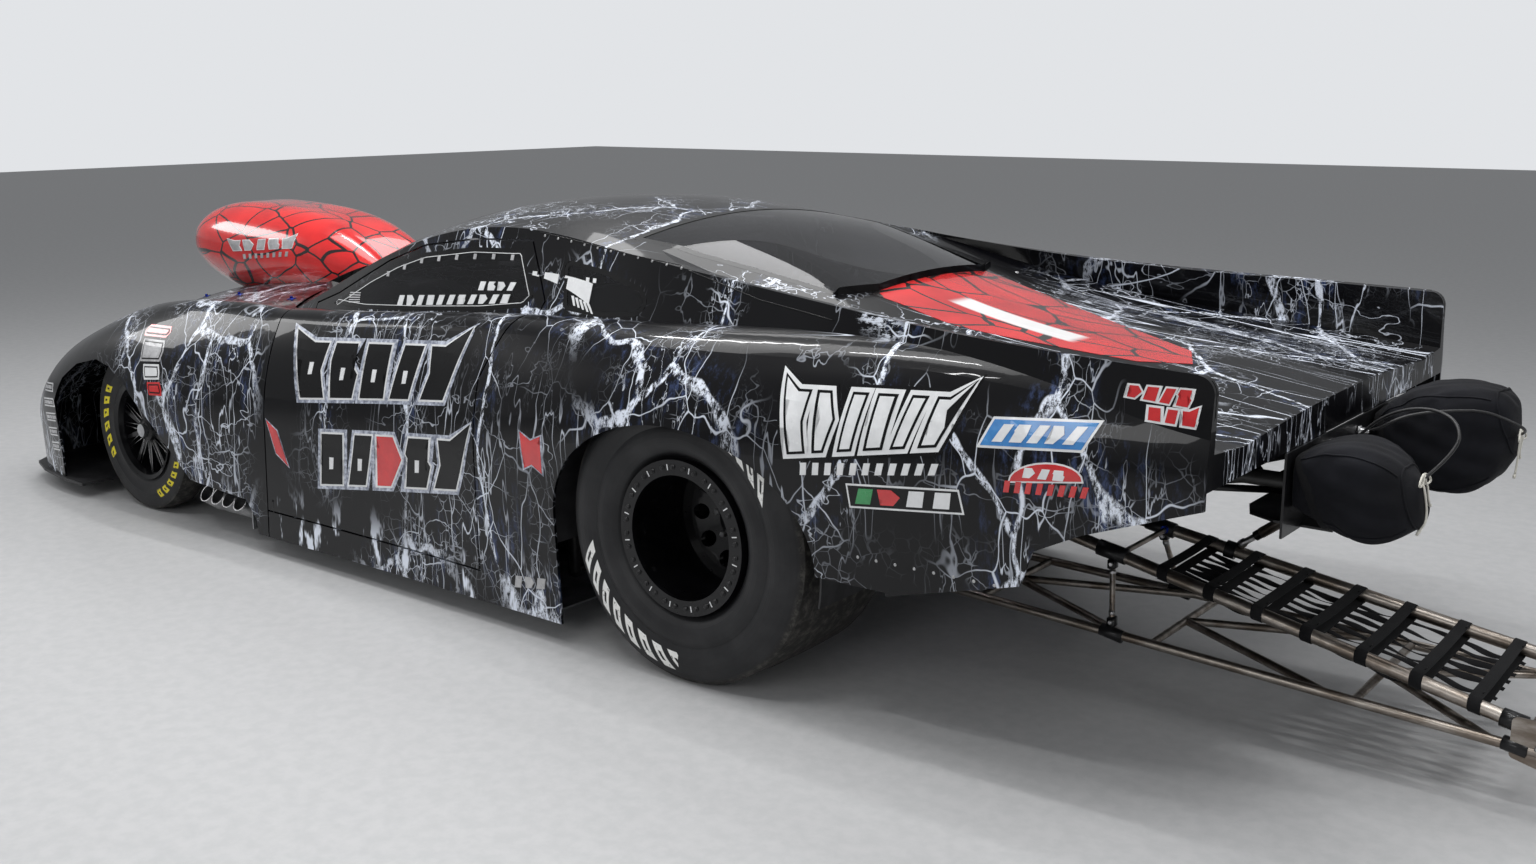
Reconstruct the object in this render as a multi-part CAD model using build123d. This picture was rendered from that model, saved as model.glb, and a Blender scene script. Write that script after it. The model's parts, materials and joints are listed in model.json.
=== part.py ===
# Door-slammer drag racing car: a composite coupe body over a steel tube frame, with narrow steered
# front wheels, very wide rear slicks, a forward-facing hood scoop, side exhaust pipes, two brake
# parachute packs and a wheelie bar. Millimetres, +X to the nose, +Y to the car's left, +Z up.
# The origin is on the ground, below the middle of the overall length.
from build123d import *
import math
import os

# Overall layout
WHEELBASE = 2950.0
NOSE_OVERHANG = 1070.0
WHEELIE_REACH = 2300.0
REAR_X = (WHEELIE_REACH - WHEELBASE - NOSE_OVERHANG) / 2
FRONT_X = REAR_X + WHEELBASE
TAIL_OVERHANG = 1500.0
NOSE_BODY_SETBACK = 45.0
GROUND_GAP = 70.0
SKIN = 10.0
PANEL_GAP = 6.0
GLASS = 5.0
GLASS_GAP = 1.0
SEAT_GAP = 0.3

# Wheels and tyres
REAR_TYRE_R = 430.0
REAR_TYRE_W = 430.0
REAR_TRACK = 1390.0
REAR_RIM_R = 203.0
BEADLOCK_R = 224.0
BEADLOCK_BORE_R = 180.0
FRONT_TYRE_R = 326.0
FRONT_TYRE_W = 116.0
FRONT_TRACK = 1560.0
FRONT_RIM_R = 190.0
FRONT_SPOKES = 10
TYRE_BEAD_GAP = 0.3
WHEELIE_WHEEL_R = 50.0
WHEELIE_WHEEL_W = 34.0

# Steering and doors
KINGPIN_INSET = 110.0
SPINDLE_R = 19.0
RUNNING_CLEARANCE = 0.05
DOOR_FRONT_X = 2000.0
DOOR_REAR_X = 850.0
DOOR_THICKNESS = 26.0
DOOR_SILL_Z = 170.0
HINGE_X = DOOR_FRONT_X - 33.0
HINGE_Y = 896.5
HINGE_R = 4.0

# Tube frame
RAIL_R = 21.0
CAGE_R = 20.0
BRACE_R = 13.0
FLOOR_T = 6.0
FLOOR_Z = GROUND_GAP + 8.0

# Wheelie bar
BAR_UPPER_R = 18.0
BAR_LOWER_R = 13.0
BAR_BRACE_R = 11.0
THIN_BRACE_R = 8.0
BAR_FRONT_X = -150.0
BAR_END_X = -2100.0
BAR_UPPER_SLOPE = 0.18
BAR_LOWER_SLOPE = 0.036
BAR_UPPER_END_Z = 180.0
BAR_LOWER_END_Z = 137.0
BAR_UPPER_END_Y = 250.0
BAR_LOWER_END_Y = 262.0
BAR_UPPER_SPREAD = 0.078
BAR_LOWER_SPREAD = 0.03

os.makedirs("parts", exist_ok=True)


def mirrored(shape):
    """The same shape on the car's other side."""
    return mirror(shape, about=Plane.XZ)


def at(x, y, z):
    """A point given from the rear axle line, the centre plane and the ground."""
    return Vector(REAR_X + x, y, z)


def save(shape, name):
    solids = shape.solids()
    result = solids[0] if len(solids) == 1 else Compound(children=solids)
    export_step(result, f"parts/{name}.step")


def tube(start, end, radius):
    """A round bar between two points."""
    axis = Vector(*end) - Vector(*start)
    return Plane(origin=start, z_dir=axis) * Cylinder(
        radius, axis.length, align=(Align.CENTER, Align.CENTER, Align.MIN))


def bent_tube(points, radius, bend):
    """A round bar along straight runs joined by arcs of one bend radius."""
    path = FilletPolyline(*points, radius=bend)
    start = Plane(origin=points[0], z_dir=path % 0)
    return sweep(start * Circle(radius), path=path)


def box_between(low, high):
    """A box from its lowest to its highest corner."""
    size = [b - a for a, b in zip(low, high)]
    return Pos(*low) * Box(*size, align=(Align.MIN, Align.MIN, Align.MIN))


def outline_face(points, corner=0.0, grow=0.0):
    """A face from an outline of straight runs, with round corners, grown or shrunk all round."""
    outline = make_face(Polyline(*[(REAR_X + u, v) for u, v in points], close=True))
    if corner:
        outline = fillet(outline.vertices(), corner)
    if grow:
        outline = offset(outline, grow, kind=Kind.INTERSECTION)
    return outline


def side_prism(points, y_low, y_high, corner=0.0, grow=0.0):
    """A prism along Y from an outline in the side view, as (x from the rear axle, z)."""
    plane = Plane(origin=(0, y_high, 0), x_dir=(1, 0, 0), z_dir=(0, -1, 0))
    return extrude(plane * outline_face(points, corner, grow), y_high - y_low)


def plan_prism(points, z_low, z_high, corner=0.0, grow=0.0):
    """A prism along Z from an outline in the plan view, as (x from the rear axle, y)."""
    return extrude(Plane.XY.offset(z_low) * outline_face(points, corner, grow), z_high - z_low)


# Body sections, from the rear axle: x; half width at the sill; widest half width and its height;
# fender crown half width and height; valley half width and height; height at the centre
MAIN_SECTIONS = [
    (-1500, 895, 902, 800, 884, 930, 700, 920, 915),
    (-1150, 900, 918, 780, 878, 965, 690, 955, 950),
    (-750, 902, 938, 740, 870, 985, 680, 985, 1000),
    (-300, 905, 952, 720, 862, 970, 670, 1010, 1040),
    (150, 905, 952, 690, 852, 950, 665, 985, 1005),
    (600, 905, 928, 610, 832, 932, 660, 945, 970),
    (1050, 902, 893, 500, 812, 905, 660, 910, 930),
    (1500, 900, 880, 460, 800, 872, 660, 872, 905),
    (1750, 902, 884, 460, 797, 858, 660, 861, 902),
    (2000, 905, 890, 460, 794, 846, 660, 850, 900),
]
NOSE_X = WHEELBASE + NOSE_OVERHANG - NOSE_BODY_SETBACK
CLIP_SECTIONS = [
    (2000, 905, 890, 460, 794, 846, 660, 850, 900),
    (2175, 908, 902, 465, 792, 846, 650, 849, 903),
    (2350, 912, 915, 470, 790, 846, 640, 848, 905),
    (2700, 918, 938, 490, 790, 826, 610, 820, 885),
    (3050, 920, 943, 480, 785, 770, 575, 775, 850),
    (3350, 915, 930, 430, 772, 680, 535, 700, 795),
    (3600, 885, 897, 350, 735, 582, 490, 612, 705),
    (3800, 810, 818, 260, 660, 440, 430, 500, 560),
    (3920, 665, 672, 200, 540, 345, 350, 390, 425),
    (NOSE_X, 430, 436, 170, 360, 285, 250, 310, 325),
]
# Cabin sections: x; half width at the belt; roof edge half width and height; height at the centre
CABIN_BELT_Z = 800.0
CABIN_SECTIONS = [
    (2420, 480, 450, 815, 885),
    (2150, 640, 590, 872, 1005),
    (1850, 700, 625, 985, 1112),
    (1550, 722, 632, 1105, 1212),
    (1250, 732, 622, 1192, 1270),
    (900, 745, 612, 1222, 1292),
    (500, 775, 640, 1186, 1262),
    (100, 812, 682, 1143, 1185),
    (-300, 842, 722, 1105, 1085),
    (-700, 872, 792, 1078, 1040),
    (-1100, 894, 852, 1062, 1010),
    (-1300, 897, 866, 1056, 1005),
    (-1500, 898, 876, 1050, 1000),
]
# Hollow of the deck between the side plates, from the rear axle: x; height at the centre; valley half
# width and height; wall half width and height at its foot; half width of the wall 200 mm higher
DECK_SECTIONS = [
    (500, 1300, 560, 1222, 610, 1218, 540),
    (100, 1192, 590, 1122, 668, 1130, 585),
    (-300, 1080, 600, 1020, 726, 1035, 646),
    (-700, 998, 630, 948, 790, 965, 734),
    (-1100, 948, 660, 905, 846, 920, 818),
    (-1300, 919, 675, 886, 853, 900, 836),
    (-1500, 890, 690, 866, 862, 880, 852),
]


def body_section(row, inset):
    """One closed body section, moved inward by the inset, with its sill lowered as far."""
    x, y_sill, y_wide, z_wide, y_crown, z_crown, y_valley, z_valley, z_centre = row
    x = min(x, NOSE_X - inset)
    z_sill = GROUND_GAP - (SKIN * 4 if inset else 0)
    side = []
    for s in (1, -1):
        sill = (s * (y_sill - inset), z_sill)
        wide = (s * (y_wide - inset), z_wide)
        crown = (s * (y_crown - inset), z_crown - inset)
        valley = (s * (y_valley - inset), z_valley - inset)
        shoulder = TangentArc(wide, crown, tangent=(0, 1))
        side += [Line(sill, wide), shoulder, TangentArc(crown, valley, tangent=shoulder % 1)]
    floor = Line((-(y_sill - inset), z_sill), (y_sill - inset, z_sill))
    top = ThreePointArc((y_valley - inset, z_valley - inset), (0, z_centre - inset),
                        (inset - y_valley, z_valley - inset))
    plane = Plane(origin=(REAR_X + x, 0, 0), x_dir=(0, 1, 0), z_dir=(1, 0, 0))
    return plane * make_face([floor] + side + [top])


def cabin_section(row, inset):
    """One closed cabin section, from the belt up."""
    x, y_belt, y_edge, z_edge, z_centre = row
    z_base = CABIN_BELT_Z - 2 * abs(inset)
    base = Line((inset - y_belt, z_base), (y_belt - inset, z_base))
    edge = (y_edge - inset, z_edge - inset)
    left = Line((y_belt - inset, z_base), edge)
    roof = ThreePointArc(edge, (0, z_centre - inset), (-edge[0], edge[1]))
    right = Line((-edge[0], edge[1]), (inset - y_belt, z_base))
    plane = Plane(origin=(REAR_X + x, 0, 0), x_dir=(0, 1, 0), z_dir=(1, 0, 0))
    return plane * make_face([base, left, roof, right])


def deck_section(row, inset):
    """One closed section of the deck hollow, grown downward and sideways by the inset."""
    x, z_centre, y_valley, z_valley, y_foot, z_foot, y_top = row
    z_top = z_foot + 200.0
    foot = (y_foot + inset, z_foot - inset)
    valley = (y_valley, z_valley - inset)
    left = Line(foot, (y_top + inset, z_top))
    roof = Line((y_top + inset, z_top), (-y_top - inset, z_top))
    right = Line((-y_top - inset, z_top), (-foot[0], foot[1]))
    rise_right = Line((-foot[0], foot[1]), (-valley[0], valley[1]))
    crown = ThreePointArc((-valley[0], valley[1]), (0, z_centre - inset), valley)
    rise_left = Line(valley, foot)
    plane = Plane(origin=(REAR_X + x, 0, 0), x_dir=(0, 1, 0), z_dir=(1, 0, 0))
    return plane * make_face([left, roof, right, rise_right, crown, rise_left])


def body_loft(rows, inset=0.0):
    return loft([body_section(row, inset) for row in rows])


def cabin_loft(inset=0.0):
    return loft([cabin_section(row, inset) for row in CABIN_SECTIONS])


def deck_loft(inset=0.0):
    return loft([deck_section(row, inset) for row in DECK_SECTIONS])


# Outlines in the side view, from the rear axle: x, height
TAIL_CUT = [(-700, 0), (-700, 410), (-1070, 510), (-1100, 600), (-1220, 660), (-1520, 768),
            (-1520, 0)]
DOOR_OUTLINE = [(DOOR_FRONT_X, DOOR_SILL_Z), (DOOR_FRONT_X, 898), (1850, 946), (1550, 1082),
                (1360, 1145), (1120, 1178), (850, 1188), (740, 1010), (DOOR_REAR_X, 780),
                (DOOR_REAR_X, DOOR_SILL_Z)]
DOOR_WINDOW = [(1870, 908), (1660, 1012), (1500, 1078), (1360, 1120), (1120, 1152), (885, 1160),
               (800, 1020), (835, 982), (1035, 955), (1335, 930), (1660, 908)]
QUARTER_WINDOW = [(690, 1142), (480, 1120), (320, 1085), (280, 1040), (320, 1000), (480, 985),
                  (650, 992)]
FRONT_ARCH = [(3470, 0), (3470, 400), (3390, 505), (3270, 575), (3100, 612), (2975, 596),
              (2860, 545), (2700, 410), (2450, 192), (2420, 0)]
PIPE_CUTOUT = [(2500, 0), (2500, 215), (2130, 190), (2070, 120), (2050, 0)]
# Outlines in the plan view, from the rear axle: x, y
WINDSHIELD = [(1420, -545), (1420, 545), (1700, 568), (1980, 572), (2160, 470), (2235, 300),
              (2265, 100), (2265, -100), (2235, -300), (2160, -470), (1980, -572), (1700, -568)]
REAR_WINDOW = [(500, -550), (500, 550), (250, 545), (-190, 440), (-250, 300), (-250, -300),
               (-190, -440), (250, -545)]
DOOR_SHELF = [(DOOR_FRONT_X, 780), (DOOR_FRONT_X, 960), (1700, 960), (1700, 780)]
SIDE_LOW = 555.0
SHELF_LOW = 668.0
SIDE_HIGH = 1000.0


def both_sides(points, y_low, y_high, corner=0.0, grow=0.0):
    """A side prism with its twin on the other side."""
    near = side_prism(points, y_low, y_high, corner, grow)
    return near + mirrored(near)


# Rear wheel arch: ellipse centre height, half length and half height
ARCH_Z = 420.0
ARCH_A = 485.0
ARCH_B = 335.0
arch_face = Pos(REAR_X, ARCH_Z) * Ellipse(ARCH_A, ARCH_B)
arch_face += Pos(REAR_X, ARCH_Z / 2 - 50) * Rectangle(2 * ARCH_A, ARCH_Z + 100)
arch_face += Pos(REAR_X - 400, ARCH_Z / 2 - 50) * Rectangle(600, ARCH_Z + 100)
arch_plane = Plane(origin=(0, SIDE_HIGH, 0), x_dir=(1, 0, 0), z_dir=(0, -1, 0))
rear_arch = extrude(arch_plane * arch_face, SIDE_HIGH - 600)
rear_arches = rear_arch + mirrored(rear_arch)

# Body shells: panels are the outer form less the form moved inward by the skin
main_outer = body_loft(MAIN_SECTIONS)
main_inner = body_loft(MAIN_SECTIONS, SKIN)
cabin_outer = cabin_loft()
cabin_inner = cabin_loft(SKIN)
deck_hollow = deck_loft()
deck_underside = deck_loft(SKIN)
front_of_main = box_between(at(DOOR_FRONT_X - PANEL_GAP / 2, -1100, 0), at(2500, 1100, 1400))
front_of_cabin = box_between(at(2395, -1100, 0), at(2500, 1100, 1400))
tail_cut = side_prism(TAIL_CUT, -SIDE_HIGH, SIDE_HIGH)
TAIL_CORNER_R = 42.0
tail_top = CABIN_SECTIONS[-1][3]
corner_x = TAIL_CORNER_R - TAIL_OVERHANG
corner_z = tail_top - TAIL_CORNER_R
tail_corners = box_between(at(-TAIL_OVERHANG - 5, -1000, corner_z), at(corner_x, 1000, tail_top + 50))
tail_corners -= tube(at(corner_x, -1010, corner_z), at(corner_x, 1010, corner_z), TAIL_CORNER_R)

main_shell = main_outer - deck_hollow - front_of_main - (main_inner - deck_underside) - cabin_inner
cabin_shell = (cabin_outer - deck_hollow - front_of_cabin - (cabin_inner - deck_underside)
               - (main_inner - deck_underside))
LIP_T = 12.0
tail_slab = box_between(at(-TAIL_OVERHANG, -1000, 800), at(-TAIL_OVERHANG + LIP_T, 1000, 1200))
tail_lip = (main_outer & tail_slab) - deck_hollow
body_shell = main_shell + cabin_shell + tail_lip
door_holes = (both_sides(DOOR_OUTLINE, SIDE_LOW - PANEL_GAP, SIDE_HIGH, grow=PANEL_GAP / 2)
              + both_sides(DOOR_SHELF, SHELF_LOW - PANEL_GAP, SIDE_HIGH, grow=PANEL_GAP / 2))
quarter_holes = both_sides(QUARTER_WINDOW, 600, SIDE_HIGH, 25)
windshield_hole = plan_prism(WINDSHIELD, 900, 1400)
rear_window_hole = plan_prism(REAR_WINDOW, 990, 1400, 30)
body_shell = body_shell - tail_cut - tail_corners - rear_arches - door_holes
body_shell = body_shell - quarter_holes - windshield_hole - rear_window_hole
hinge_pin = tube(at(HINGE_X, HINGE_Y, DOOR_SILL_Z - 25), at(HINGE_X, HINGE_Y, DOOR_SILL_Z + 35),
                 HINGE_R)
body_shell = body_shell + hinge_pin + mirrored(hinge_pin)
save(body_shell, "body_shell")

# Doors: as thick as the whole door, with the side window set in them
door_outer = main_outer + cabin_outer
door_inner = body_loft(MAIN_SECTIONS, DOOR_THICKNESS) + cabin_loft(DOOR_THICKNESS)
door_form = (side_prism(DOOR_OUTLINE, SIDE_LOW, SIDE_HIGH, grow=-PANEL_GAP / 2)
             + side_prism(DOOR_SHELF, SHELF_LOW, SIDE_HIGH, grow=-PANEL_GAP / 2))
door = (door_outer - door_inner) & door_form
door = door - side_prism(DOOR_WINDOW, 500, SIDE_HIGH)
door = door - tube(at(HINGE_X, HINGE_Y, 100), at(HINGE_X, HINGE_Y, DOOR_SILL_Z + 45),
                   HINGE_R + RUNNING_CLEARANCE)
door_left = door.solids().sort_by(SortBy.VOLUME)[-1]
save(door_left, "door_left")
save(mirrored(door_left), "door_right")

# Glass: set just inside the outer face of the panel round it
glass_form = cabin_loft(GLASS_GAP) - cabin_loft(GLASS_GAP + GLASS)
door_window = glass_form & side_prism(DOOR_WINDOW, 500, SIDE_HIGH, grow=-SEAT_GAP)
save(door_window, "door_window_left")
save(mirrored(door_window), "door_window_right")
quarter_glass = side_prism(QUARTER_WINDOW, 600, SIDE_HIGH, 25, -SEAT_GAP)
quarter_window = glass_form & quarter_glass
save(quarter_window + mirrored(quarter_window), "quarter_windows")
save(glass_form & plan_prism(WINDSHIELD, 900, 1400, grow=-SEAT_GAP), "windshield")
glass_low = cabin_loft(GLASS_GAP) - deck_loft(GLASS_GAP)
glass_floor = cabin_loft(GLASS_GAP + GLASS) - deck_loft(GLASS_GAP + GLASS)
rear_glass = (glass_low - glass_floor) & plan_prism(REAR_WINDOW, 990, 1400, 30, -SEAT_GAP)
save(rear_glass, "rear_window")

# Front clip: nose, fenders and hood in one piece, cut back round the cowl
clip_outer = body_loft(CLIP_SECTIONS)
clip_inner = body_loft(CLIP_SECTIONS, SKIN)
behind_clip = box_between(at(1900, -1100, 0), at(DOOR_FRONT_X + PANEL_GAP / 2, 1100, 1400))
front_arches = both_sides(FRONT_ARCH, 560, SIDE_HIGH)
pipe_cutouts = both_sides(PIPE_CUTOUT, 700, SIDE_HIGH)
front_clip = clip_outer - clip_inner - behind_clip - cabin_loft(-PANEL_GAP)
front_clip = front_clip - front_arches - pipe_cutouts
save(front_clip, "front_clip")

# Splitter: a flat plate below the nose; x from the rear axle and half width
SPLITTER_T = 12.0
SPLITTER_EDGE = [(3300, 922), (3500, 915), (3690, 884), (3840, 835), (3950, 700), (4005, 430),
                 (4020, 150)]
splitter_outline = SPLITTER_EDGE + [(x, -y) for x, y in reversed(SPLITTER_EDGE)]
splitter_top = GROUND_GAP - SEAT_GAP
front_splitter = plan_prism(splitter_outline, splitter_top - SPLITTER_T, splitter_top)
save(front_splitter, "front_splitter")

# Hood scoop: x; half width; lowest and highest height
SCOOP_SECTIONS = [
    (2220, 150, 840, 950),
    (2500, 220, 820, 1100),
    (2850, 248, 800, 1172),
    (3150, 252, 790, 1185),
    (3340, 240, 835, 1168),
    (3475, 205, 905, 1110),
]
SCOOP_T = 7.0


def scoop_loft(inset):
    """The scoop's form, moved inward; the inner form runs out through the open front."""
    sections = []
    for x, half_width, low, high in SCOOP_SECTIONS:
        last = x == SCOOP_SECTIONS[-1][0]
        x = x + (inset if last else 0)
        height = high - low - 2 * inset
        width = 2 * half_width - 2 * inset
        plane = Plane(origin=at(x, 0, (low + high) / 2), x_dir=(0, 1, 0), z_dir=(1, 0, 0))
        sections.append(plane * RectangleRounded(width, height, 0.46 * height))
    return loft(sections)


hood_scoop = scoop_loft(0) - scoop_loft(SCOOP_T) - body_loft(CLIP_SECTIONS, -SEAT_GAP)
hood_scoop = hood_scoop - cabin_loft(-SEAT_GAP)
save(hood_scoop, "hood_scoop")

# Wheel tubs: curved covers over the rear tyres, open below, inside the shell
TUB_R = 500.0
TUB_T = 6.0
TUB_INNER_Y = 446.0
tub_space = (body_loft(MAIN_SECTIONS, SKIN + SEAT_GAP) & box_between(
    at(-700, TUB_INNER_Y, 330), at(700, 950, 1000)))
tub_plane = Plane(origin=at(0, 1000, REAR_TYRE_R), x_dir=(1, 0, 0), z_dir=(0, -1, 0))
tub_outer = extrude(tub_plane * Circle(TUB_R), 1000 - TUB_INNER_Y)
tub_void = extrude(tub_plane * Circle(TUB_R - TUB_T), 1000 - TUB_INNER_Y - TUB_T)
axle_way = box_between(at(-80, TUB_INNER_Y - 5, 300), at(80, TUB_INNER_Y + 20, 530))
wheel_tub = (tub_outer - tub_void) & tub_space - axle_way
save(wheel_tub + mirrored(wheel_tub), "wheel_tubs")

# Floor and firewall, with a tunnel for the gearbox
FIREWALL_X = 2110.0
FIREWALL_T = 6.0
TUNNEL_HALF = 175.0
FLOOR_REAR_X = 560.0
RAIL_Y = 400.0
WELD_BULGE = 1.5
RAIL_Z = FLOOR_Z + FLOOR_T + RAIL_R + WELD_BULGE + SEAT_GAP
floor_space = body_loft(MAIN_SECTIONS, SKIN + SEAT_GAP)
floor_plate = box_between(at(FLOOR_REAR_X, -950, FLOOR_Z), at(1990, 950, FLOOR_Z + FLOOR_T))
floor_front = box_between(at(1985, -840, FLOOR_Z), at(FIREWALL_X, 840, FLOOR_Z + FLOOR_T))
firewall = box_between(at(FIREWALL_X, -950, FLOOR_Z), at(FIREWALL_X + FIREWALL_T, 950, 790))
firewall = firewall & body_loft(CLIP_SECTIONS, SKIN + SEAT_GAP)
gearbox_way = box_between(at(2000, -TUNNEL_HALF, 0), at(2300, TUNNEL_HALF, 480))
rail_way = tube(at(FIREWALL_X - 5, RAIL_Y, RAIL_Z), at(FIREWALL_X + 20, RAIL_Y, RAIL_Z),
                RAIL_R + SEAT_GAP)
firewall = firewall - gearbox_way - rail_way - mirrored(rail_way)
floor_pan = (floor_plate & floor_space) + floor_front + firewall - gearbox_way
save(floor_pan, "floor_pan")

# Tube frame; every run is start and end from the rear axle line, on the left
HOOP_Y = 585.0
HOOP_X = 750.0
REAR_RAIL_Z = 640.0
STRUT_TOP_Z = 700.0
KINGPIN_Y = FRONT_TRACK / 2 - KINGPIN_INSET
MOUNT_X = -1502.0
MOUNT_Y = 260.0
MOUNT_LUG = 28.0
RAIL_END_X = -1000.0
LOW_RAIL_FRONT = 3325.0
LOW_RAIL_REAR = 535.0
LEFT_RAILS = [
    ((330, RAIL_Y, REAR_RAIL_Z), (560, RAIL_Y, RAIL_Z)),
    ((330, RAIL_Y, REAR_RAIL_Z), (RAIL_END_X, RAIL_Y, REAR_RAIL_Z)),
    ((3300, RAIL_Y, 420), (3300, RAIL_Y, RAIL_Z)),
    ((3300, RAIL_Y, 420), (2950, RAIL_Y, 640)),
    ((2950, RAIL_Y, 640), (2140, HOOP_Y, 700)),
    ((2950, RAIL_Y, 640), (2950, RAIL_Y, RAIL_Z)),
]
LEFT_CAGE = [
    ((HOOP_X, HOOP_Y, RAIL_Z), (HOOP_X, HOOP_Y, 860)),
    ((HOOP_X, HOOP_Y, 860), (HOOP_X, 510, 1150)),
    ((HOOP_X, 510, 1150), (1560, 520, 1072)),
    ((1560, 520, 1072), (2060, 535, 850)),
    ((2060, 535, 850), (2080, HOOP_Y, 700)),
    ((2080, HOOP_Y, 700), (2080, HOOP_Y, RAIL_Z)),
    ((HOOP_X, 420, 1150), (-560, RAIL_Y, REAR_RAIL_Z)),
    ((HOOP_X, 420, 620), (330, RAIL_Y, REAR_RAIL_Z)),
    ((HOOP_X, HOOP_Y, 420), (2080, HOOP_Y, 240)),
    ((HOOP_X, HOOP_Y, 240), (2080, HOOP_Y, 560)),
]
TAIL_BEND = 60.0
TAIL_RUN = [
    (RAIL_END_X, RAIL_Y, REAR_RAIL_Z), (-1340, MOUNT_Y, 690),
    (MOUNT_X + MOUNT_LUG + SEAT_GAP, MOUNT_Y, 690),
]
SHOCK_X = -20.0
SHOCK_BAR_Z = 840.0
# Cross tubes: x from the rear axle, height, half length
CROSS_TUBES = [
    (SHOCK_X, SHOCK_BAR_Z, 405), (HOOP_X, RAIL_Z, HOOP_Y), (2080, RAIL_Z, HOOP_Y),
    (HOOP_X, 1150, 510), (1560, 1072, 520), (HOOP_X, 620, HOOP_Y), (3300, RAIL_Z, RAIL_Y),
    (3300, 420, RAIL_Y), (330, REAR_RAIL_Z, RAIL_Y), (-560, REAR_RAIL_Z, RAIL_Y),
    (RAIL_END_X, REAR_RAIL_Z, RAIL_Y), (2080, 700, HOOP_Y),
]
# Links between the rear axle's brackets and the frame, and the frame's hangers for them
BRACKET_Y = 320.0
BRACKET_T = 12.0
LINK_R = 14.0
LINK_FRONT_X = 430.0
LINK_HIGH = 575.0
LINK_LOW = 265.0
LINK_FRONT_HIGH = 470.0
LINK_FRONT_LOW = 240.0
link_y = BRACKET_Y + BRACKET_T + SEAT_GAP + LINK_R
low_rails = []
for side in (1, -1):
    low_rails.append(tube(at(LOW_RAIL_FRONT, side * RAIL_Y, RAIL_Z),
                          at(LOW_RAIL_REAR, side * RAIL_Y, RAIL_Z), RAIL_R))
save(Compound(children=low_rails), "frame_rails")
side_tubes = []
for runs, radius, pole_turn in ((LEFT_RAILS, RAIL_R, 90), (LEFT_CAGE, CAGE_R, 0)):
    for start, end in runs:
        side_tubes.append(tube(at(*start), at(*end), radius))
    for joint in dict.fromkeys(start for start, end in runs):
        ball = Rot(0, pole_turn, 0) * Sphere(radius + WELD_BULGE)
        side_tubes.append(Pos(*at(*joint)) * ball)
side_tubes.append(Pos(*at(RAIL_END_X, RAIL_Y, REAR_RAIL_Z)) * Sphere(RAIL_R + WELD_BULGE))
strut_tower = box_between(at(WHEELBASE - 60, RAIL_Y, STRUT_TOP_Z - 12),
                          at(WHEELBASE + 60, KINGPIN_Y + 40, STRUT_TOP_Z))
tower_leg = box_between(at(WHEELBASE - 60, RAIL_Y - 10, 630),
                        at(WHEELBASE + 60, RAIL_Y + 10, STRUT_TOP_Z))
link_hanger = box_between(at(LINK_FRONT_X - 12, link_y + LINK_R + SEAT_GAP, LINK_FRONT_LOW - 20),
                          at(LINK_FRONT_X + 14, RAIL_Y - 5, LINK_FRONT_HIGH + 30))
side_tubes += [strut_tower, tower_leg, link_hanger]
frame_left = side_tubes[0].fuse(*side_tubes[1:]) - low_rails[0]
frame_right = mirrored(frame_left)
save(frame_left, "frame_left")
save(frame_right, "frame_right")
tail_left = bent_tube([at(*place) for place in TAIL_RUN], RAIL_R, TAIL_BEND) - frame_left
tail_right = mirrored(tail_left)
save(tail_left + tail_right, "tail_frame")
cross_tubes = []
for x, z, half in CROSS_TUBES:
    bar = tube(at(x, -half, z), at(x, half, z), BRACE_R) - frame_left - frame_right
    for run in low_rails + [tail_left, tail_right]:
        bar = bar - run
    cross_tubes += bar.solids()
save(Compound(children=cross_tubes), "frame_cross_tubes")

# Rear wheels: rim barrel, deep dished centre, and a bolted ring that holds the tyre's outer bead
REAR_HALF_W = REAR_TYRE_W / 2
RIM_T = 7.0
RING_T = 24.0
HUB_R = 62.0
AXLE_R = 30.0
DISH_Y = -70.0
DISH_T = 10.0
rear_y = REAR_TRACK / 2


def revolved(profile, y_centre, x_centre, z_centre):
    """A solid of revolution about an axle along Y; the profile is (radius, y from the centre)."""
    face = make_face(profile)
    plane = Plane(origin=(x_centre, y_centre, z_centre), x_dir=(1, 0, 0), z_dir=(0, 0, 1))
    return revolve(plane * face, Axis((x_centre, y_centre, z_centre), (0, 1, 0)))


def tyre_profile(radius, half_width, bead_r, bead_y, crown):
    """A tyre's section: straight bead seat, bulging sides, and a slightly round tread."""
    shoulder_y = half_width * 0.90
    bead = (bead_r, bead_y)
    flange = (bead_r + 22, bead_y + 10)
    belly = ((bead_r + radius) / 2, half_width)
    shoulder = (radius - crown, shoulder_y)
    left = [Line(bead, flange), ThreePointArc(flange, (bead_r + 45, half_width - 6), belly),
            ThreePointArc(belly, (radius - 26, half_width - 4), shoulder)]
    right = [Line((bead_r, -bead_y), (flange[0], -flange[1])),
             ThreePointArc((flange[0], -flange[1]), (bead_r + 45, 6 - half_width),
                           (belly[0], -half_width)),
             ThreePointArc((belly[0], -half_width), (radius - 26, 4 - half_width),
                           (shoulder[0], -shoulder_y))]
    tread = ThreePointArc(shoulder, (radius, 0), (shoulder[0], -shoulder_y))
    seat = Line((bead_r, -bead_y), bead)
    return left + [tread] + right + [seat]


rear_tyre = revolved(tyre_profile(REAR_TYRE_R, REAR_HALF_W, REAR_RIM_R + TYRE_BEAD_GAP, 168, 5),
                     rear_y, REAR_X, REAR_TYRE_R)
save(rear_tyre, "rear_tyre_left")
save(mirrored(rear_tyre), "rear_tyre_right")

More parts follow.
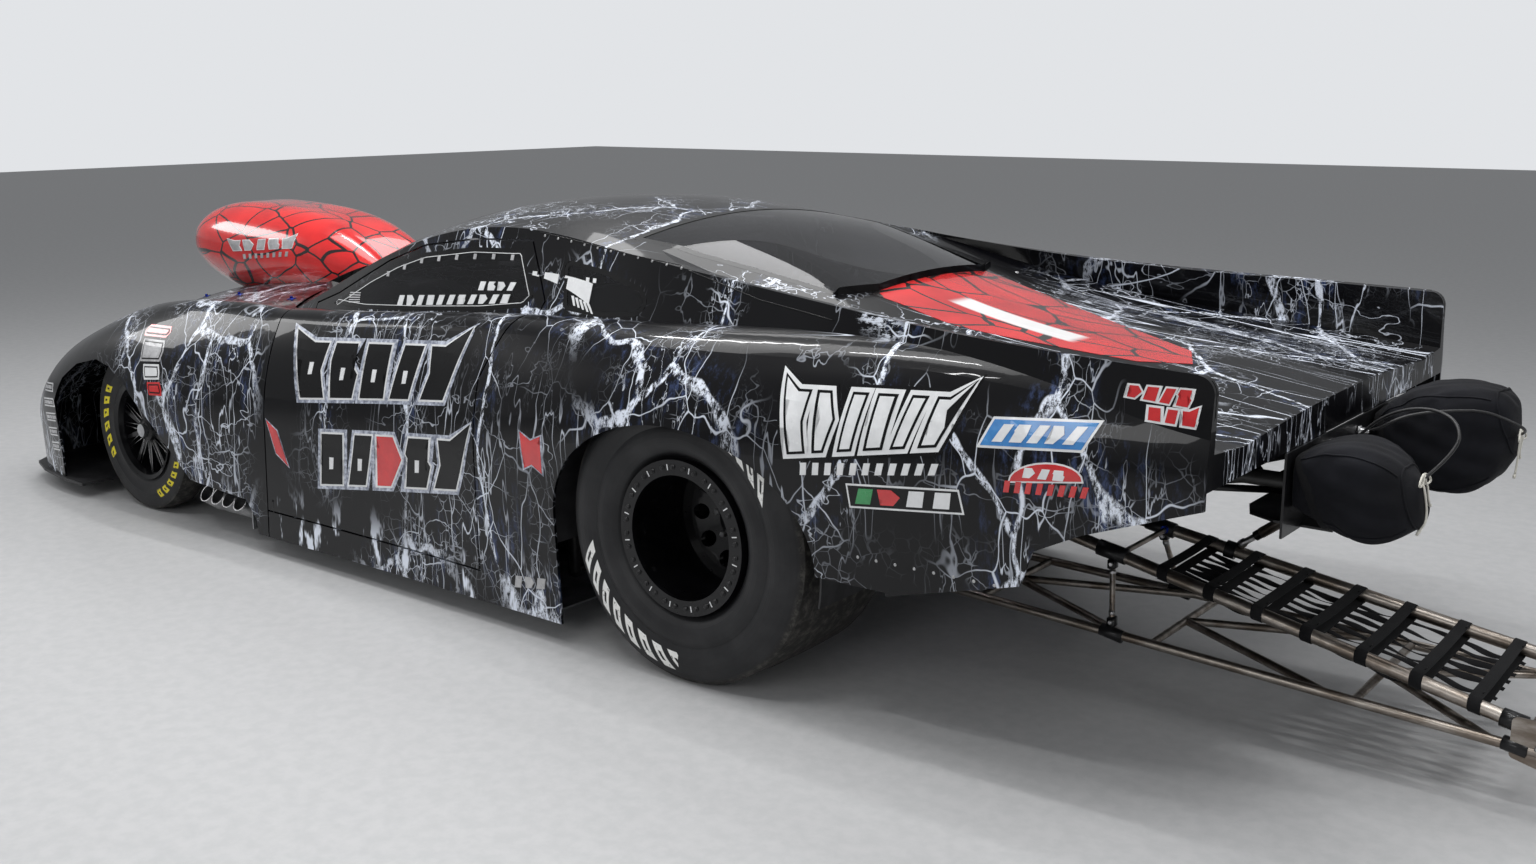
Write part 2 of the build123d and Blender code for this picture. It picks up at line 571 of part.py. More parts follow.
ring_y = REAR_HALF_W - RING_T - 3
barrel_r = REAR_RIM_R - RIM_T
rear_rim = Polyline((REAR_RIM_R, -168), (REAR_RIM_R + 16, -182), (REAR_RIM_R + 16, -190),
                    (REAR_RIM_R - 4, -190), (barrel_r, -176), (barrel_r, ring_y + 6),
                    (BEADLOCK_BORE_R, ring_y + 10), (BEADLOCK_BORE_R, ring_y + RING_T),
                    (BEADLOCK_R, ring_y + RING_T), (BEADLOCK_R, ring_y), (REAR_RIM_R, ring_y),
                    close=True)
rim_solid = revolved(rear_rim, rear_y, REAR_X, REAR_TYRE_R)
dish = Polyline((AXLE_R + RUNNING_CLEARANCE, DISH_Y - 40), (AXLE_R + RUNNING_CLEARANCE, DISH_Y + 50),
                (HUB_R - 14, DISH_Y + 50), (HUB_R, DISH_Y + 30), (HUB_R + 16, DISH_Y + DISH_T),
                (barrel_r - 30, DISH_Y + DISH_T + 30), (barrel_r + 3, DISH_Y + DISH_T + 34),
                (barrel_r + 3, DISH_Y + 24), (barrel_r - 28, DISH_Y + 20), (HUB_R + 18, DISH_Y),
                (HUB_R + 18, DISH_Y - 40), close=True)
dish_solid = revolved(dish, rear_y, REAR_X, REAR_TYRE_R)
window_r = (HUB_R + barrel_r) / 2 + 6
for i in range(10):
    angle = math.radians(36 * i)
    spot = (REAR_X + window_r * math.cos(angle), rear_y + 200,
            REAR_TYRE_R + window_r * math.sin(angle))
    dish_solid -= Plane(origin=spot, z_dir=(0, -1, 0)) * Cylinder(
        24, 600, align=(Align.CENTER, Align.CENTER, Align.MIN))
rear_wheel = rim_solid + dish_solid
save(rear_wheel, "rear_wheel_left")
save(mirrored(rear_wheel), "rear_wheel_right")

# Front wheels: narrow rim, ten thin spokes and a small hub
front_y = FRONT_TRACK / 2
FRONT_HALF_W = FRONT_TYRE_W / 2
front_tyre = revolved(tyre_profile(FRONT_TYRE_R, FRONT_HALF_W, FRONT_RIM_R + TYRE_BEAD_GAP, 42, 9),
                      front_y, FRONT_X, FRONT_TYRE_R)
save(front_tyre, "front_tyre_left")
save(mirrored(front_tyre), "front_tyre_right")
FRONT_HUB_R = 52.0
SPOKE_T = 14.0
hub_face_y = 30.0
front_rim = Polyline((FRONT_RIM_R, -42), (FRONT_RIM_R + 9, -51), (FRONT_RIM_R + 9, -56),
                     (FRONT_RIM_R - 8, -50), (FRONT_RIM_R - 14, -30), (FRONT_RIM_R - 14, 30),
                     (FRONT_RIM_R - 8, 50), (FRONT_RIM_R + 9, 56), (FRONT_RIM_R + 9, 51),
                     (FRONT_RIM_R, 42), close=True)
front_hub = Polyline((SPINDLE_R + RUNNING_CLEARANCE, -28), (SPINDLE_R + RUNNING_CLEARANCE, 34),
                     (34, 40), (FRONT_HUB_R - 6, 34), (FRONT_HUB_R, 20), (FRONT_HUB_R, -2),
                     (38, -10), (38, -28), close=True)
front_wheel = revolved(front_rim, front_y, FRONT_X, FRONT_TYRE_R) + revolved(
    front_hub, front_y, FRONT_X, FRONT_TYRE_R)
for i in range(FRONT_SPOKES):
    angle = math.radians(360 / FRONT_SPOKES * i + 90)
    direction = Vector(math.cos(angle), 0, math.sin(angle))
    start = Vector(FRONT_X, front_y + 12, FRONT_TYRE_R) + direction * (FRONT_HUB_R - 8)
    spoke_plane = Plane(origin=start, x_dir=(0, 1, 0), z_dir=direction)
    length = FRONT_RIM_R - 12 - FRONT_HUB_R + 8
    wide = spoke_plane * Rectangle(20, SPOKE_T + 8)
    slim = spoke_plane.offset(length) * Pos(4, 0) * Rectangle(14, SPOKE_T)
    front_wheel += loft([wide, slim])
save(front_wheel, "front_wheel_left")
save(mirrored(front_wheel), "front_wheel_right")

# Knuckle: an upright on the kingpin with a spindle for the wheel and an arm for the steering
AXLE_Z = FRONT_TYRE_R
KINGPIN_R = 14.0
UPRIGHT_LOW = 205.0
UPRIGHT_HIGH = 430.0
ARM_REACH = 130.0
ARM_Z = 236.0
kx = FRONT_X - REAR_X
upright = box_between(at(kx - 22, KINGPIN_Y - 20, UPRIGHT_LOW),
                      at(kx + 22, KINGPIN_Y + 18, UPRIGHT_HIGH))
upright = fillet(upright.edges().filter_by(Axis.Z), 8)
spindle = tube(at(kx, KINGPIN_Y, AXLE_Z), at(kx, front_y + 36, AXLE_Z), SPINDLE_R)
spindle_nut = tube(at(kx, front_y + 42, AXLE_Z), at(kx, front_y + 56, AXLE_Z), 26)
spindle_end = tube(at(kx, front_y + 36, AXLE_Z), at(kx, front_y + 42, AXLE_Z), SPINDLE_R)
steer_arm = box_between(at(kx, KINGPIN_Y - 14, ARM_Z - 7),
                        at(kx + ARM_REACH + 16, KINGPIN_Y + 10, ARM_Z + 7))
top_pin = tube(at(kx, KINGPIN_Y, UPRIGHT_HIGH), at(kx, KINGPIN_Y, UPRIGHT_HIGH + 40), KINGPIN_R)
caliper = box_between(at(kx - 95, KINGPIN_Y - 4, AXLE_Z - 45),
                      at(kx - 40, KINGPIN_Y + 34, AXLE_Z + 45))
caliper_arm = box_between(at(kx - 60, KINGPIN_Y - 12, AXLE_Z - 20),
                          at(kx, KINGPIN_Y, AXLE_Z + 20))
low_pin = tube(at(kx, KINGPIN_Y, UPRIGHT_LOW - 26), at(kx, KINGPIN_Y, UPRIGHT_LOW), KINGPIN_R)
knuckle = (upright + spindle + spindle_end + spindle_nut + steer_arm + top_pin + caliper
           + caliper_arm + low_pin)
save(knuckle, "knuckle_left")
save(mirrored(knuckle), "knuckle_right")

# Front struts: clamp round the knuckle's upper pin, damper body and rod up to the tower
STRUT_R = 24.0
strut_low = UPRIGHT_HIGH + 6
strut_body = tube(at(kx, KINGPIN_Y, strut_low), at(kx, KINGPIN_Y, 610), STRUT_R)
strut_rod = tube(at(kx, KINGPIN_Y, 600), at(kx, KINGPIN_Y, STRUT_TOP_Z - 12 - SEAT_GAP), 11)
pin_bore = tube(at(kx, KINGPIN_Y, strut_low - 5), at(kx, KINGPIN_Y, UPRIGHT_HIGH + 46),
                KINGPIN_R + RUNNING_CLEARANCE)
front_strut = strut_body + strut_rod - pin_bore
save(front_strut + mirrored(front_strut), "front_struts")

# Lower arms: a V of two tubes from the frame rail to a bored boss under each knuckle
arm_boss_z = UPRIGHT_LOW - 6
arm_boss = tube(at(kx, KINGPIN_Y, arm_boss_z - 24), at(kx, KINGPIN_Y, arm_boss_z), 25)
leg_z = arm_boss_z - 12
leg_front = tube(at(kx, KINGPIN_Y, leg_z), at(kx + 130, RAIL_Y + 30, leg_z), 11)
leg_rear = tube(at(kx, KINGPIN_Y, leg_z), at(kx - 130, RAIL_Y + 30, leg_z), 11)
arm_bar = tube(at(kx - 150, RAIL_Y + 34, leg_z), at(kx + 150, RAIL_Y + 34, leg_z), 13)
arm_bore = tube(at(kx, KINGPIN_Y, arm_boss_z - 40), at(kx, KINGPIN_Y, arm_boss_z + 10),
                KINGPIN_R + RUNNING_CLEARANCE)
arm_lug_f = box_between(at(kx + 95, RAIL_Y - 10, RAIL_Z + RAIL_R + SEAT_GAP),
                        at(kx + 115, RAIL_Y + 34, leg_z + 10))
arm_lug_r = box_between(at(kx - 115, RAIL_Y - 10, RAIL_Z + RAIL_R + SEAT_GAP),
                        at(kx - 95, RAIL_Y + 34, leg_z + 10))
front_arm = arm_boss + leg_front + leg_rear + arm_bar + arm_lug_f + arm_lug_r - arm_bore
save(front_arm + mirrored(front_arm), "front_arms")

# Steering rack: a fixed tube across the frame; the rack bar slides in it and carries the rod ends
RACK_X = kx + ARM_REACH
RACK_R = 14.0
RACK_Z = ARM_Z + 7 + 20
rack_house = tube(at(RACK_X, -300, RACK_Z), at(RACK_X, 300, RACK_Z), 24)
rack_bore = tube(at(RACK_X, -301, RACK_Z), at(RACK_X, 301, RACK_Z), RACK_R + RUNNING_CLEARANCE)
rack_legs = [box_between(at(RACK_X - 10, y - 8, RAIL_Z), at(RACK_X + 10, y + 8, RACK_Z))
             for y in (-260, 260)]
rack_beam = tube(at(RACK_X, 0, RAIL_Z), at(RACK_X, RAIL_Y - RAIL_R - SEAT_GAP, RAIL_Z), 14)
steering_rack = rack_house + rack_beam + mirrored(rack_beam) + rack_legs[0] + rack_legs[1]
steering_rack -= rack_bore
save(steering_rack, "rack_housing")
ROD_END_Y = KINGPIN_Y - 2
rack_bar = tube(at(RACK_X, -ROD_END_Y, RACK_Z), at(RACK_X, ROD_END_Y, RACK_Z), RACK_R - 3)
rack_core = tube(at(RACK_X, -385, RACK_Z), at(RACK_X, 385, RACK_Z), RACK_R)
rod_end = tube(at(RACK_X, ROD_END_Y, ARM_Z + 7 + 7), at(RACK_X, ROD_END_Y, RACK_Z + 14), 15)
rack_bar = rack_bar + rack_core + rod_end + mirrored(rod_end)
save(rack_bar, "rack_bar")

# Rear axle: centre case with a pinion nose, tapered housings, brackets and spindles
CASE_R = 140.0
axle_z = REAR_TYRE_R
case = tube(at(0, -95, axle_z), at(0, 95, axle_z), CASE_R)
pinion_nose = tube(at(90, 0, axle_z - 10), at(265, 0, axle_z - 10), 62)
housing_half = tube(at(0, 90, axle_z), at(0, 470, axle_z), 46)
spindle_half = tube(at(0, 470, axle_z), at(0, rear_y + DISH_Y + 50, axle_z), AXLE_R)
cone_start = Plane(origin=at(0, 92, axle_z), z_dir=(0, 1, 0)) * Circle(CASE_R - 6)
cone_end = Plane(origin=at(0, 330, axle_z), z_dir=(0, 1, 0)) * Circle(47)
cone = loft([cone_start, cone_end])
LINK_X = 40.0
bracket = side_prism([(LINK_X + 40, 225), (LINK_X + 40, 615), (-110, 600), (-190, 570), (-190, 490),
                      (-80, 470), (-80, 340), (-190, 265), (-190, 170), (-100, 170)],
                     BRACKET_Y, BRACKET_Y + BRACKET_T)
SHOCK_Y = BRACKET_Y - 60
SHOCK_FOOT_Z = axle_z + 100
shock_foot = box_between(at(-45, SHOCK_Y - 30, axle_z), at(5, SHOCK_Y + 30, SHOCK_FOOT_Z))
axle_half = housing_half + spindle_half + cone + bracket + shock_foot
rear_axle = case + pinion_nose + axle_half + mirrored(axle_half)
save(rear_axle, "rear_axle")

# Links from the axle brackets forward to the frame, and dampers up to the frame's rear tubes
links = []
for z_rear, z_front in ((LINK_HIGH, LINK_FRONT_HIGH), (LINK_LOW, LINK_FRONT_LOW)):
    rear_end, front_end = at(LINK_X + 10, link_y, z_rear), at(LINK_FRONT_X, link_y, z_front)
    links.append(tube(rear_end, front_end, LINK_R) + Pos(*rear_end) * Sphere(LINK_R)
                 + Pos(*front_end) * Sphere(LINK_R))
four_link = links[0] + links[1]
save(four_link + mirrored(four_link), "four_link")
shock_low = at(SHOCK_X, SHOCK_Y, SHOCK_FOOT_Z + SEAT_GAP)
shock_high = at(SHOCK_X, SHOCK_Y, SHOCK_BAR_Z - BRACE_R - SEAT_GAP)
shock = tube(shock_low, at(SHOCK_X, SHOCK_Y, 720), 30) + tube(shock_low, shock_high, 11)
save(shock + mirrored(shock), "rear_shocks")

# Driveshaft, between the gearbox's output and the axle's pinion
GEARBOX_END = 1560.0
driveshaft = tube(at(240, 0, axle_z - 8), at(GEARBOX_END + 20, 0, 330), 40)
driveshaft = driveshaft & box_between(at(265 + SEAT_GAP, -100, 200),
                                      at(GEARBOX_END - SEAT_GAP, 100, 600))
save(driveshaft, "driveshaft")

# Engine: one plain block with its gearbox, at its real place and size
ENGINE_HALF = 290.0
engine = box_between(at(2180, -150, 150), at(2860, 150, 420))
engine += box_between(at(2160, -ENGINE_HALF, 400), at(2880, ENGINE_HALF, 700))
engine += box_between(at(2130, -165, 160), at(2190, 165, 470))
engine += box_between(at(GEARBOX_END, -130, 180), at(2140, 130, 440))
save(engine, "engine_block")

# Header pipes: four on each side, from the block down, under the side and turned up and out
PIPE_R = 35.0
PIPE_T = 2.5
PIPE_FIRST_X = 2442.0
PIPE_PITCH = 73.0
pipes = []
for i in range(4):
    x = PIPE_FIRST_X - PIPE_PITCH * i
    x_head = 2810 - 165 * i
    points = [at(x, 872, 158), at(x, 800, 106), at(x, 560, 106), at(x_head, 400, 560),
              at(x_head, ENGINE_HALF + SEAT_GAP, 560)]
    pipe = bent_tube(points, PIPE_R, 60)
    bore = tube(at(x, 872, 158), at(x, 800, 106), PIPE_R - PIPE_T)
    pipes += [pipe - bore]
header_pipes = Compound(children=pipes + [mirrored(pipe) for pipe in pipes])
save(header_pipes, "header_pipes")

# Seat: a one-piece shell with side wings and a head panel, on a low bracket
SEAT_Y = 300.0
seat_outer = side_prism([(930, 150), (1480, 130), (1500, 240), (1120, 250), (1010, 800),
                         (990, 1000), (870, 1000), (880, 780)], SEAT_Y - 235, SEAT_Y + 235)
seat_inner = side_prism([(1520, 160), (1540, 300), (1180, 300), (1050, 1010), (905, 1010),
                         (915, 800), (975, 175)], SEAT_Y - 215, SEAT_Y + 215)
seat_back = side_prism([(930, 150), (1480, 130), (1480, 152), (975, 172), (912, 800), (905, 1000),
                        (870, 1000), (880, 780)], SEAT_Y - 235, SEAT_Y + 235)
seat = (seat_outer - seat_inner) + seat_back
seat_foot = box_between(at(1000, SEAT_Y - 180, FLOOR_Z + FLOOR_T + SEAT_GAP),
                        at(1420, RAIL_Y - RAIL_R - 6, 150))
save(seat + seat_foot, "seat")

# Dash panel across the cabin, with the steering column
COLUMN_R = 11.0
dash = box_between(at(1880, -500, 600), at(1900, 500, 800))
for y in (-380, 380):
    dash += box_between(at(1890, y - 12, 690), at(2080 - BRACE_R - SEAT_GAP, y + 12, 710))
dash_plane = Plane(origin=at(1400, SEAT_Y, 760), z_dir=(0.96, 0, -0.28))
column = dash_plane * Cylinder(COLUMN_R, 520, align=(Align.CENTER, Align.CENTER, Align.MIN))
save(dash + column, "dash_panel")
WHEEL_R = 150.0
wheel_plane = dash_plane
rim_ring = wheel_plane * Torus(WHEEL_R - 13, 13)
steer_hub = wheel_plane * Pos(0, 0, -16) * Cylinder(34, 32)
steering_wheel = rim_ring + steer_hub
for i in range(3):
    spoke = Rot(0, 0, 90 + 120 * i) * Pos(WHEEL_R / 2 - 5, 0, -2) * Box(WHEEL_R - 30, 26, 6)
    steering_wheel += wheel_plane * spoke
steering_wheel -= dash_plane * Pos(0, 0, -20) * Cylinder(
    COLUMN_R + RUNNING_CLEARANCE, 80, align=(Align.CENTER, Align.CENTER, Align.MIN))
save(steering_wheel, "steering_wheel")

# Wheelie bar: two upper and two lower tubes that spread toward the end, braces and end plates
def upper_y(x):
    return BAR_UPPER_END_Y - (x - BAR_END_X) * BAR_UPPER_SPREAD


def upper_z(x):
    return BAR_UPPER_END_Z + (x - BAR_END_X) * BAR_UPPER_SLOPE


def lower_y(x):
    return BAR_LOWER_END_Y - (x - BAR_END_X) * BAR_LOWER_SPREAD


def lower_z(x):
    return BAR_LOWER_END_Z + (x - BAR_END_X) * BAR_LOWER_SLOPE


def upper_at(x):
    return at(x, upper_y(x), upper_z(x))


def lower_at(x):
    return at(x, lower_y(x), lower_z(x))


bar_tubes = []
upper = tube(upper_at(BAR_FRONT_X), upper_at(BAR_END_X), BAR_UPPER_R)
lower = tube(lower_at(BAR_FRONT_X), lower_at(BAR_END_X), BAR_LOWER_R)
drop_strut = tube(upper_at(-950), lower_at(-990), THIN_BRACE_R)
for piece in (upper, lower, drop_strut):
    bar_tubes += [piece, mirrored(piece)]
pin_end = BRACKET_Y - SEAT_GAP
for z in (upper_z(BAR_FRONT_X), lower_z(BAR_FRONT_X)):
    bar_tubes.append(tube(at(BAR_FRONT_X, -pin_end, z), at(BAR_FRONT_X, pin_end, z), 18))
for x, radius in ((-970, THIN_BRACE_R), (-2070, BAR_BRACE_R)):
    half = upper_y(x)
    bar_tubes.append(tube(at(x, -half, upper_z(x)), at(x, half, upper_z(x)), radius))
LOWER_CROSS = [-567.0, -1107.0, -1654.0, -2040.0]
BRACE_LEAD = 60.0
for x in LOWER_CROSS:
    half = lower_y(x)
    bar_tubes.append(tube(at(x, -half, lower_z(x)), at(x, half, lower_z(x)), BAR_BRACE_R))
for x, x_next in zip(LOWER_CROSS, LOWER_CROSS[1:]):
    brace = tube(at(x, 0, lower_z(x)), lower_at(x_next + BRACE_LEAD), BAR_BRACE_R)
    bar_tubes += [brace, mirrored(brace)]
WHEELIE_X = -(WHEELIE_REACH - WHEELIE_WHEEL_R)
WHEELIE_Z = 125.0
PLATE_Y = 262.0
PLATE_T = 8.0
end_plate = side_prism([(-2020, 115), (-2020, 215), (-2110, 215), (-2230, 165), (-2285, 140),
                        (-2285, 105), (-2230, 88), (-2100, 95)], PLATE_Y, PLATE_Y + PLATE_T, 12)
end_plate -= tube(at(-2180, 200, 140), at(-2180, 400, 140), 14)
end_plate += tube(at(WHEELIE_X, PLATE_Y, WHEELIE_Z),
                  at(WHEELIE_X, PLATE_Y + PLATE_T + 52, WHEELIE_Z), 12)
bar_tubes += [end_plate, mirrored(end_plate)]
wheelie_frame = bar_tubes[0].fuse(*bar_tubes[1:])
save(wheelie_frame, "wheelie_frame")
wheelie_wheel = tube(at(WHEELIE_X, PLATE_Y + PLATE_T + 8, WHEELIE_Z),
                     at(WHEELIE_X, PLATE_Y + PLATE_T + 8 + WHEELIE_WHEEL_W, WHEELIE_Z),
                     WHEELIE_WHEEL_R)
wheelie_wheel = fillet(wheelie_wheel.edges(), 6)
wheelie_wheel -= tube(at(WHEELIE_X, PLATE_Y, WHEELIE_Z), at(WHEELIE_X, PLATE_Y + 100, WHEELIE_Z),
                      12 + RUNNING_CLEARANCE)
save(wheelie_wheel, "wheelie_wheel_left")
save(mirrored(wheelie_wheel), "wheelie_wheel_right")

# Net: flat straps wound round both upper tubes, with long ribbons under them
STRAP_T = 2.4
STRAP_W = 40.0
STRAP_FIRST_X = -1106.0
STRAP_PITCH = 137.0
STRAP_COUNT = 7
RIBBON_W = 26.0
RIBBON_FRACTIONS = [-0.72, -0.43, -0.14, 0.14, 0.43, 0.72]
straps_x = [STRAP_FIRST_X - STRAP_PITCH * i for i in range(STRAP_COUNT)]
along = Vector(1, 0, BAR_UPPER_SLOPE).normalized()
loop_r = BAR_UPPER_R + 2 * SEAT_GAP


def strap_form(x, radius):
    """A rounded band's form round both tubes, as wide as the tubes' spread at each edge."""
    edges = []
    for shift in (-STRAP_W / 2, STRAP_W / 2):
        here = x + shift * along.X
        plane = Plane(origin=at(here, 0, upper_z(here)), x_dir=(0, 1, 0), z_dir=along)
        edges.append(plane * SlotCenterToCenter(2 * upper_y(here), 2 * radius))
    return loft(edges)


net = [strap_form(x, loop_r + STRAP_T) - strap_form(x, loop_r) for x in straps_x]
for fraction in RIBBON_FRACTIONS:
    ends = []
    for x in (straps_x[-1] - STRAP_W / 2, straps_x[0] + STRAP_W / 2):
        ends.append(at(x, fraction * upper_y(x), upper_z(x) - (loop_r + STRAP_T * 1.3)))
    ribbon_plane = Plane(origin=ends[0], x_dir=(0, 1, 0), z_dir=ends[1] - ends[0])
    length = (ends[1] - ends[0]).length
    net.append(ribbon_plane * Box(RIBBON_W, STRAP_T, length,
                                  align=(Align.CENTER, Align.CENTER, Align.MIN)))
wheelie_net = net[0].fuse(*net[1:])
save(wheelie_net, "wheelie_net")

# Parachute mount: a plate, a tray and lugs behind the tail, with one strut down to the wheelie bar
mount_plate = box_between(at(MOUNT_X - 6, -430, 590), at(MOUNT_X, 430, 800))
TRAY_Z = 594.0
tray = plan_prism([(-1340, -200), (-1340, 200), (-1370, 275), (-1445, 313), (-1590, 313),
                   (-1590, -313), (-1445, -313), (-1370, -275)], TRAY_Z, TRAY_Z + 6)
parachute_mount = mount_plate + tray
for y in (-MOUNT_Y, MOUNT_Y):
    parachute_mount += box_between(at(MOUNT_X, y - 30, 660), at(MOUNT_X + MOUNT_LUG, y + 30, 720))
TOW_HOLE_R = 12.0
parachute_mount -= tube(at(MOUNT_X - 20, 0, 640), at(MOUNT_X + 20, 0, 640), TOW_HOLE_R)
CLAMP_X = -1158.0
CLAMP_W = 30.0
clamp_y = -upper_y(CLAMP_X)
strut_foot = at(CLAMP_X, clamp_y, upper_z(CLAMP_X))
strut_top = at(MOUNT_X + 3, clamp_y, 615)
strut_neck = strut_foot + (strut_top - strut_foot) * 0.2
clamp_plane = Plane(origin=strut_foot, z_dir=(1, BAR_UPPER_SPREAD, BAR_UPPER_SLOPE))
clamp_bore = clamp_plane * Cylinder(BAR_UPPER_R + SEAT_GAP, 3 * CLAMP_W)
mount_strut = tube(strut_foot, strut_neck, THIN_BRACE_R) + tube(strut_neck, strut_top, 14)
mount_strut += clamp_plane * Cylinder(BAR_UPPER_R + 7, CLAMP_W)
parachute_mount += mount_strut - clamp_bore
save(parachute_mount, "parachute_mount")

# Parachute packs: soft bags, square at the mount and gathered to a tied end; the left one droops and
# the right one stands up. Sections: depth and height of the top, of the bottom; width; corner radius
BAG_Y = 300.0
bag_x = MOUNT_X - 6 - SEAT_GAP
LEFT_BAG = [
    (0, 780, 0, 655, 190, 30),
    (20, 798, 80, 628, 228, 36),
    (80, 824, 150, 604, 252, 48),
    (175, 822, 225, 602, 246, 60),
    (240, 785, 275, 626, 176, 62),
    (285, 742, 297, 655, 78, 36),
]
RIGHT_BAG = [
    (0, 780, 0, 655, 190, 30),
    (20, 803, 80, 626, 230, 36),
    (90, 858, 150, 600, 256, 48),
    (195, 885, 240, 598, 264, 60),
    (300, 882, 315, 640, 215, 66),
    (352, 806, 356, 705, 86, 40),
]


def bag(stations, y):
    """A pack lofted through slanted rounded sections."""
    sections = []
    for depth_top, z_top, depth_low, z_low, width, corner in stations:
        top, low = at(bag_x - depth_top, y, z_top), at(bag_x - depth_low, y, z_low)
        rise = top - low
        plane = Plane(origin=(top + low) * 0.5, x_dir=(0, 1, 0), z_dir=(rise.Z, 0, -rise.X))
        sections.append(plane * RectangleRounded(width, rise.length, corner))
    return loft(sections)


left_bag = bag(LEFT_BAG, BAG_Y)
right_bag = bag(RIGHT_BAG, -BAG_Y)
save(left_bag, "parachute_bag_left")
save(right_bag, "parachute_bag_right")

# Release cables: from the plate's face back between the packs and round to each pack's tied end.
# Each route's last point lies inside the pack, and the cable stops just short of its cloth
CORD_R = 4.0
cord_start = MOUNT_X - 6 - SEAT_GAP
LEFT_CORD = [(cord_start, 95, 765), (MOUNT_X - 45, 95, 765), (MOUNT_X - 110, 105, 842),
             (MOUNT_X - 190, 140, 886), (MOUNT_X - 270, 185, 900), (MOUNT_X - 332, 235, 884),
             (MOUNT_X - 348, 278, 830), (MOUNT_X - 270, 304, 742)]
RIGHT_CORD = [(cord_start, -95, 765), (MOUNT_X - 45, -95, 765), (MOUNT_X - 108, -100, 812),
              (MOUNT_X - 175, -120, 831), (MOUNT_X - 240, -145, 838), (MOUNT_X - 290, -166, 840),
              (MOUNT_X - 345, -185, 822), (MOUNT_X - 392, -232, 788), (MOUNT_X - 352, -292, 764)]


def cord_radii(points):
    """Bend radii that fit the runs on both sides of each turn; an end run has one turn only."""
    runs = [Vector(*b) - Vector(*a) for a, b in zip(points, points[1:])]
    shares = [0.45 * run.length for run in runs]
    shares[0] *= 2
    shares[-1] *= 2
    radii = []
    for i in range(len(runs) - 1):
        turn = math.radians(runs[i].get_angle(runs[i + 1]))
        radii.append(min(shares[i], shares[i + 1]) / math.tan(turn / 2))
    return radii


def release_cable(route, pack):
    """A cable along the route, whose last run stops where it meets the pack."""
    points = [at(*point) for point in route]
    run = points[-1] - points[-2]
    met = tube(points[-2], points[-1], CORD_R) & pack
    reach = met.distance_to(Vertex(*points[-2])) - SEAT_GAP
    points[-1] = points[-2] + run.normalized() * reach
    bends = cord_radii(points)
    path = FilletPolyline(*points, radius=bends)
    cord = sweep(Plane(origin=points[0], z_dir=path % 0) * Circle(CORD_R), path=path)
    print("cord radii", [round(r) for r in bends], "end", points[-1] - at(0, 0, 0))
    print("cord volume", round(cord.volume), "of", round(math.pi * CORD_R ** 2 * path.length))
    return cord


save(release_cable(LEFT_CORD, left_bag), "release_cable_left")
save(release_cable(RIGHT_CORD, right_bag), "release_cable_right")
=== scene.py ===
import json
import math
import random

import bmesh
import bpy
from mathutils import Matrix, Vector
from mathutils.bvhtree import BVHTree


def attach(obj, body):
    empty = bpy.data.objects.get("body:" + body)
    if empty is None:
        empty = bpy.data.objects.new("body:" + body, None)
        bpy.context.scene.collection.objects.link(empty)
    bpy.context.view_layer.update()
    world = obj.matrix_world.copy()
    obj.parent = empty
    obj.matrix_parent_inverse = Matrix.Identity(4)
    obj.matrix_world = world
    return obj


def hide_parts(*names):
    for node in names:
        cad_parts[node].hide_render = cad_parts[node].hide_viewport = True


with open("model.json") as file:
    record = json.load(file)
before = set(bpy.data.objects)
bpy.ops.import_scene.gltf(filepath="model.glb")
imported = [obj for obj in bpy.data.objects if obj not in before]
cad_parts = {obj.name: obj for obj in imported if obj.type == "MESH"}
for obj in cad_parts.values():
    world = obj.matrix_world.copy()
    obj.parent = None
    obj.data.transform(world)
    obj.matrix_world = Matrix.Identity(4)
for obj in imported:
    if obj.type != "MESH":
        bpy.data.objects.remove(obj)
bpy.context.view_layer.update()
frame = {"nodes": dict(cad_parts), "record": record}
nodes = frame["nodes"]

# Places on the car, in metres: the wheels, the tail and the parachute mount
REAR_X = -0.86
FRONT_X = 2.09
REAR_TYRE_R = 0.430
FRONT_TYRE_R = 0.326
MOUNT_X = REAR_X - 1.502
TAIL_X = REAR_X - 1.500


def at(x, y, z):
    """A point given from the rear axle line, in metres."""
    return Vector((REAR_X + x, y, z))


def linked(name, data):
    """A new object in the scene's collection."""
    piece = bpy.data.objects.new(name, data)
    bpy.context.scene.collection.objects.link(piece)
    return piece


# Camera: fitted to the photograph from the car's own landmarks
CAM_POS = Vector((REAR_X - 2.7081, 3.9276, 1.6457))
CAM_YAW, CAM_PITCH, CAM_ROLL = (math.radians(v) for v in (-51.633, 12.7015, -0.2759))
CAM_FOCAL_PX = 1515.126
IMAGE_W = 1536
SENSOR_W = 36.0
look = Vector((math.cos(CAM_YAW) * math.cos(CAM_PITCH),
               math.sin(CAM_YAW) * math.cos(CAM_PITCH), -math.sin(CAM_PITCH)))
right = look.cross(Vector((0, 0, 1))).normalized()
up = right.cross(look)
cam_x = right * math.cos(CAM_ROLL) + up * math.sin(CAM_ROLL)
cam_y = up * math.cos(CAM_ROLL) - right * math.sin(CAM_ROLL)
camera_data = bpy.data.cameras.new("camera")
camera = linked("camera", camera_data)
camera_data.sensor_fit = "HORIZONTAL"
camera_data.sensor_width = SENSOR_W
camera_data.lens = CAM_FOCAL_PX * SENSOR_W / IMAGE_W
camera_data.clip_start, camera_data.clip_end = 0.05, 100
basis = Matrix((cam_x, cam_y, -look)).transposed().to_4x4()
camera.matrix_world = Matrix.Translation(CAM_POS) @ basis
bpy.context.scene.camera = camera
bpy.context.scene.view_settings.view_transform = "Standard"


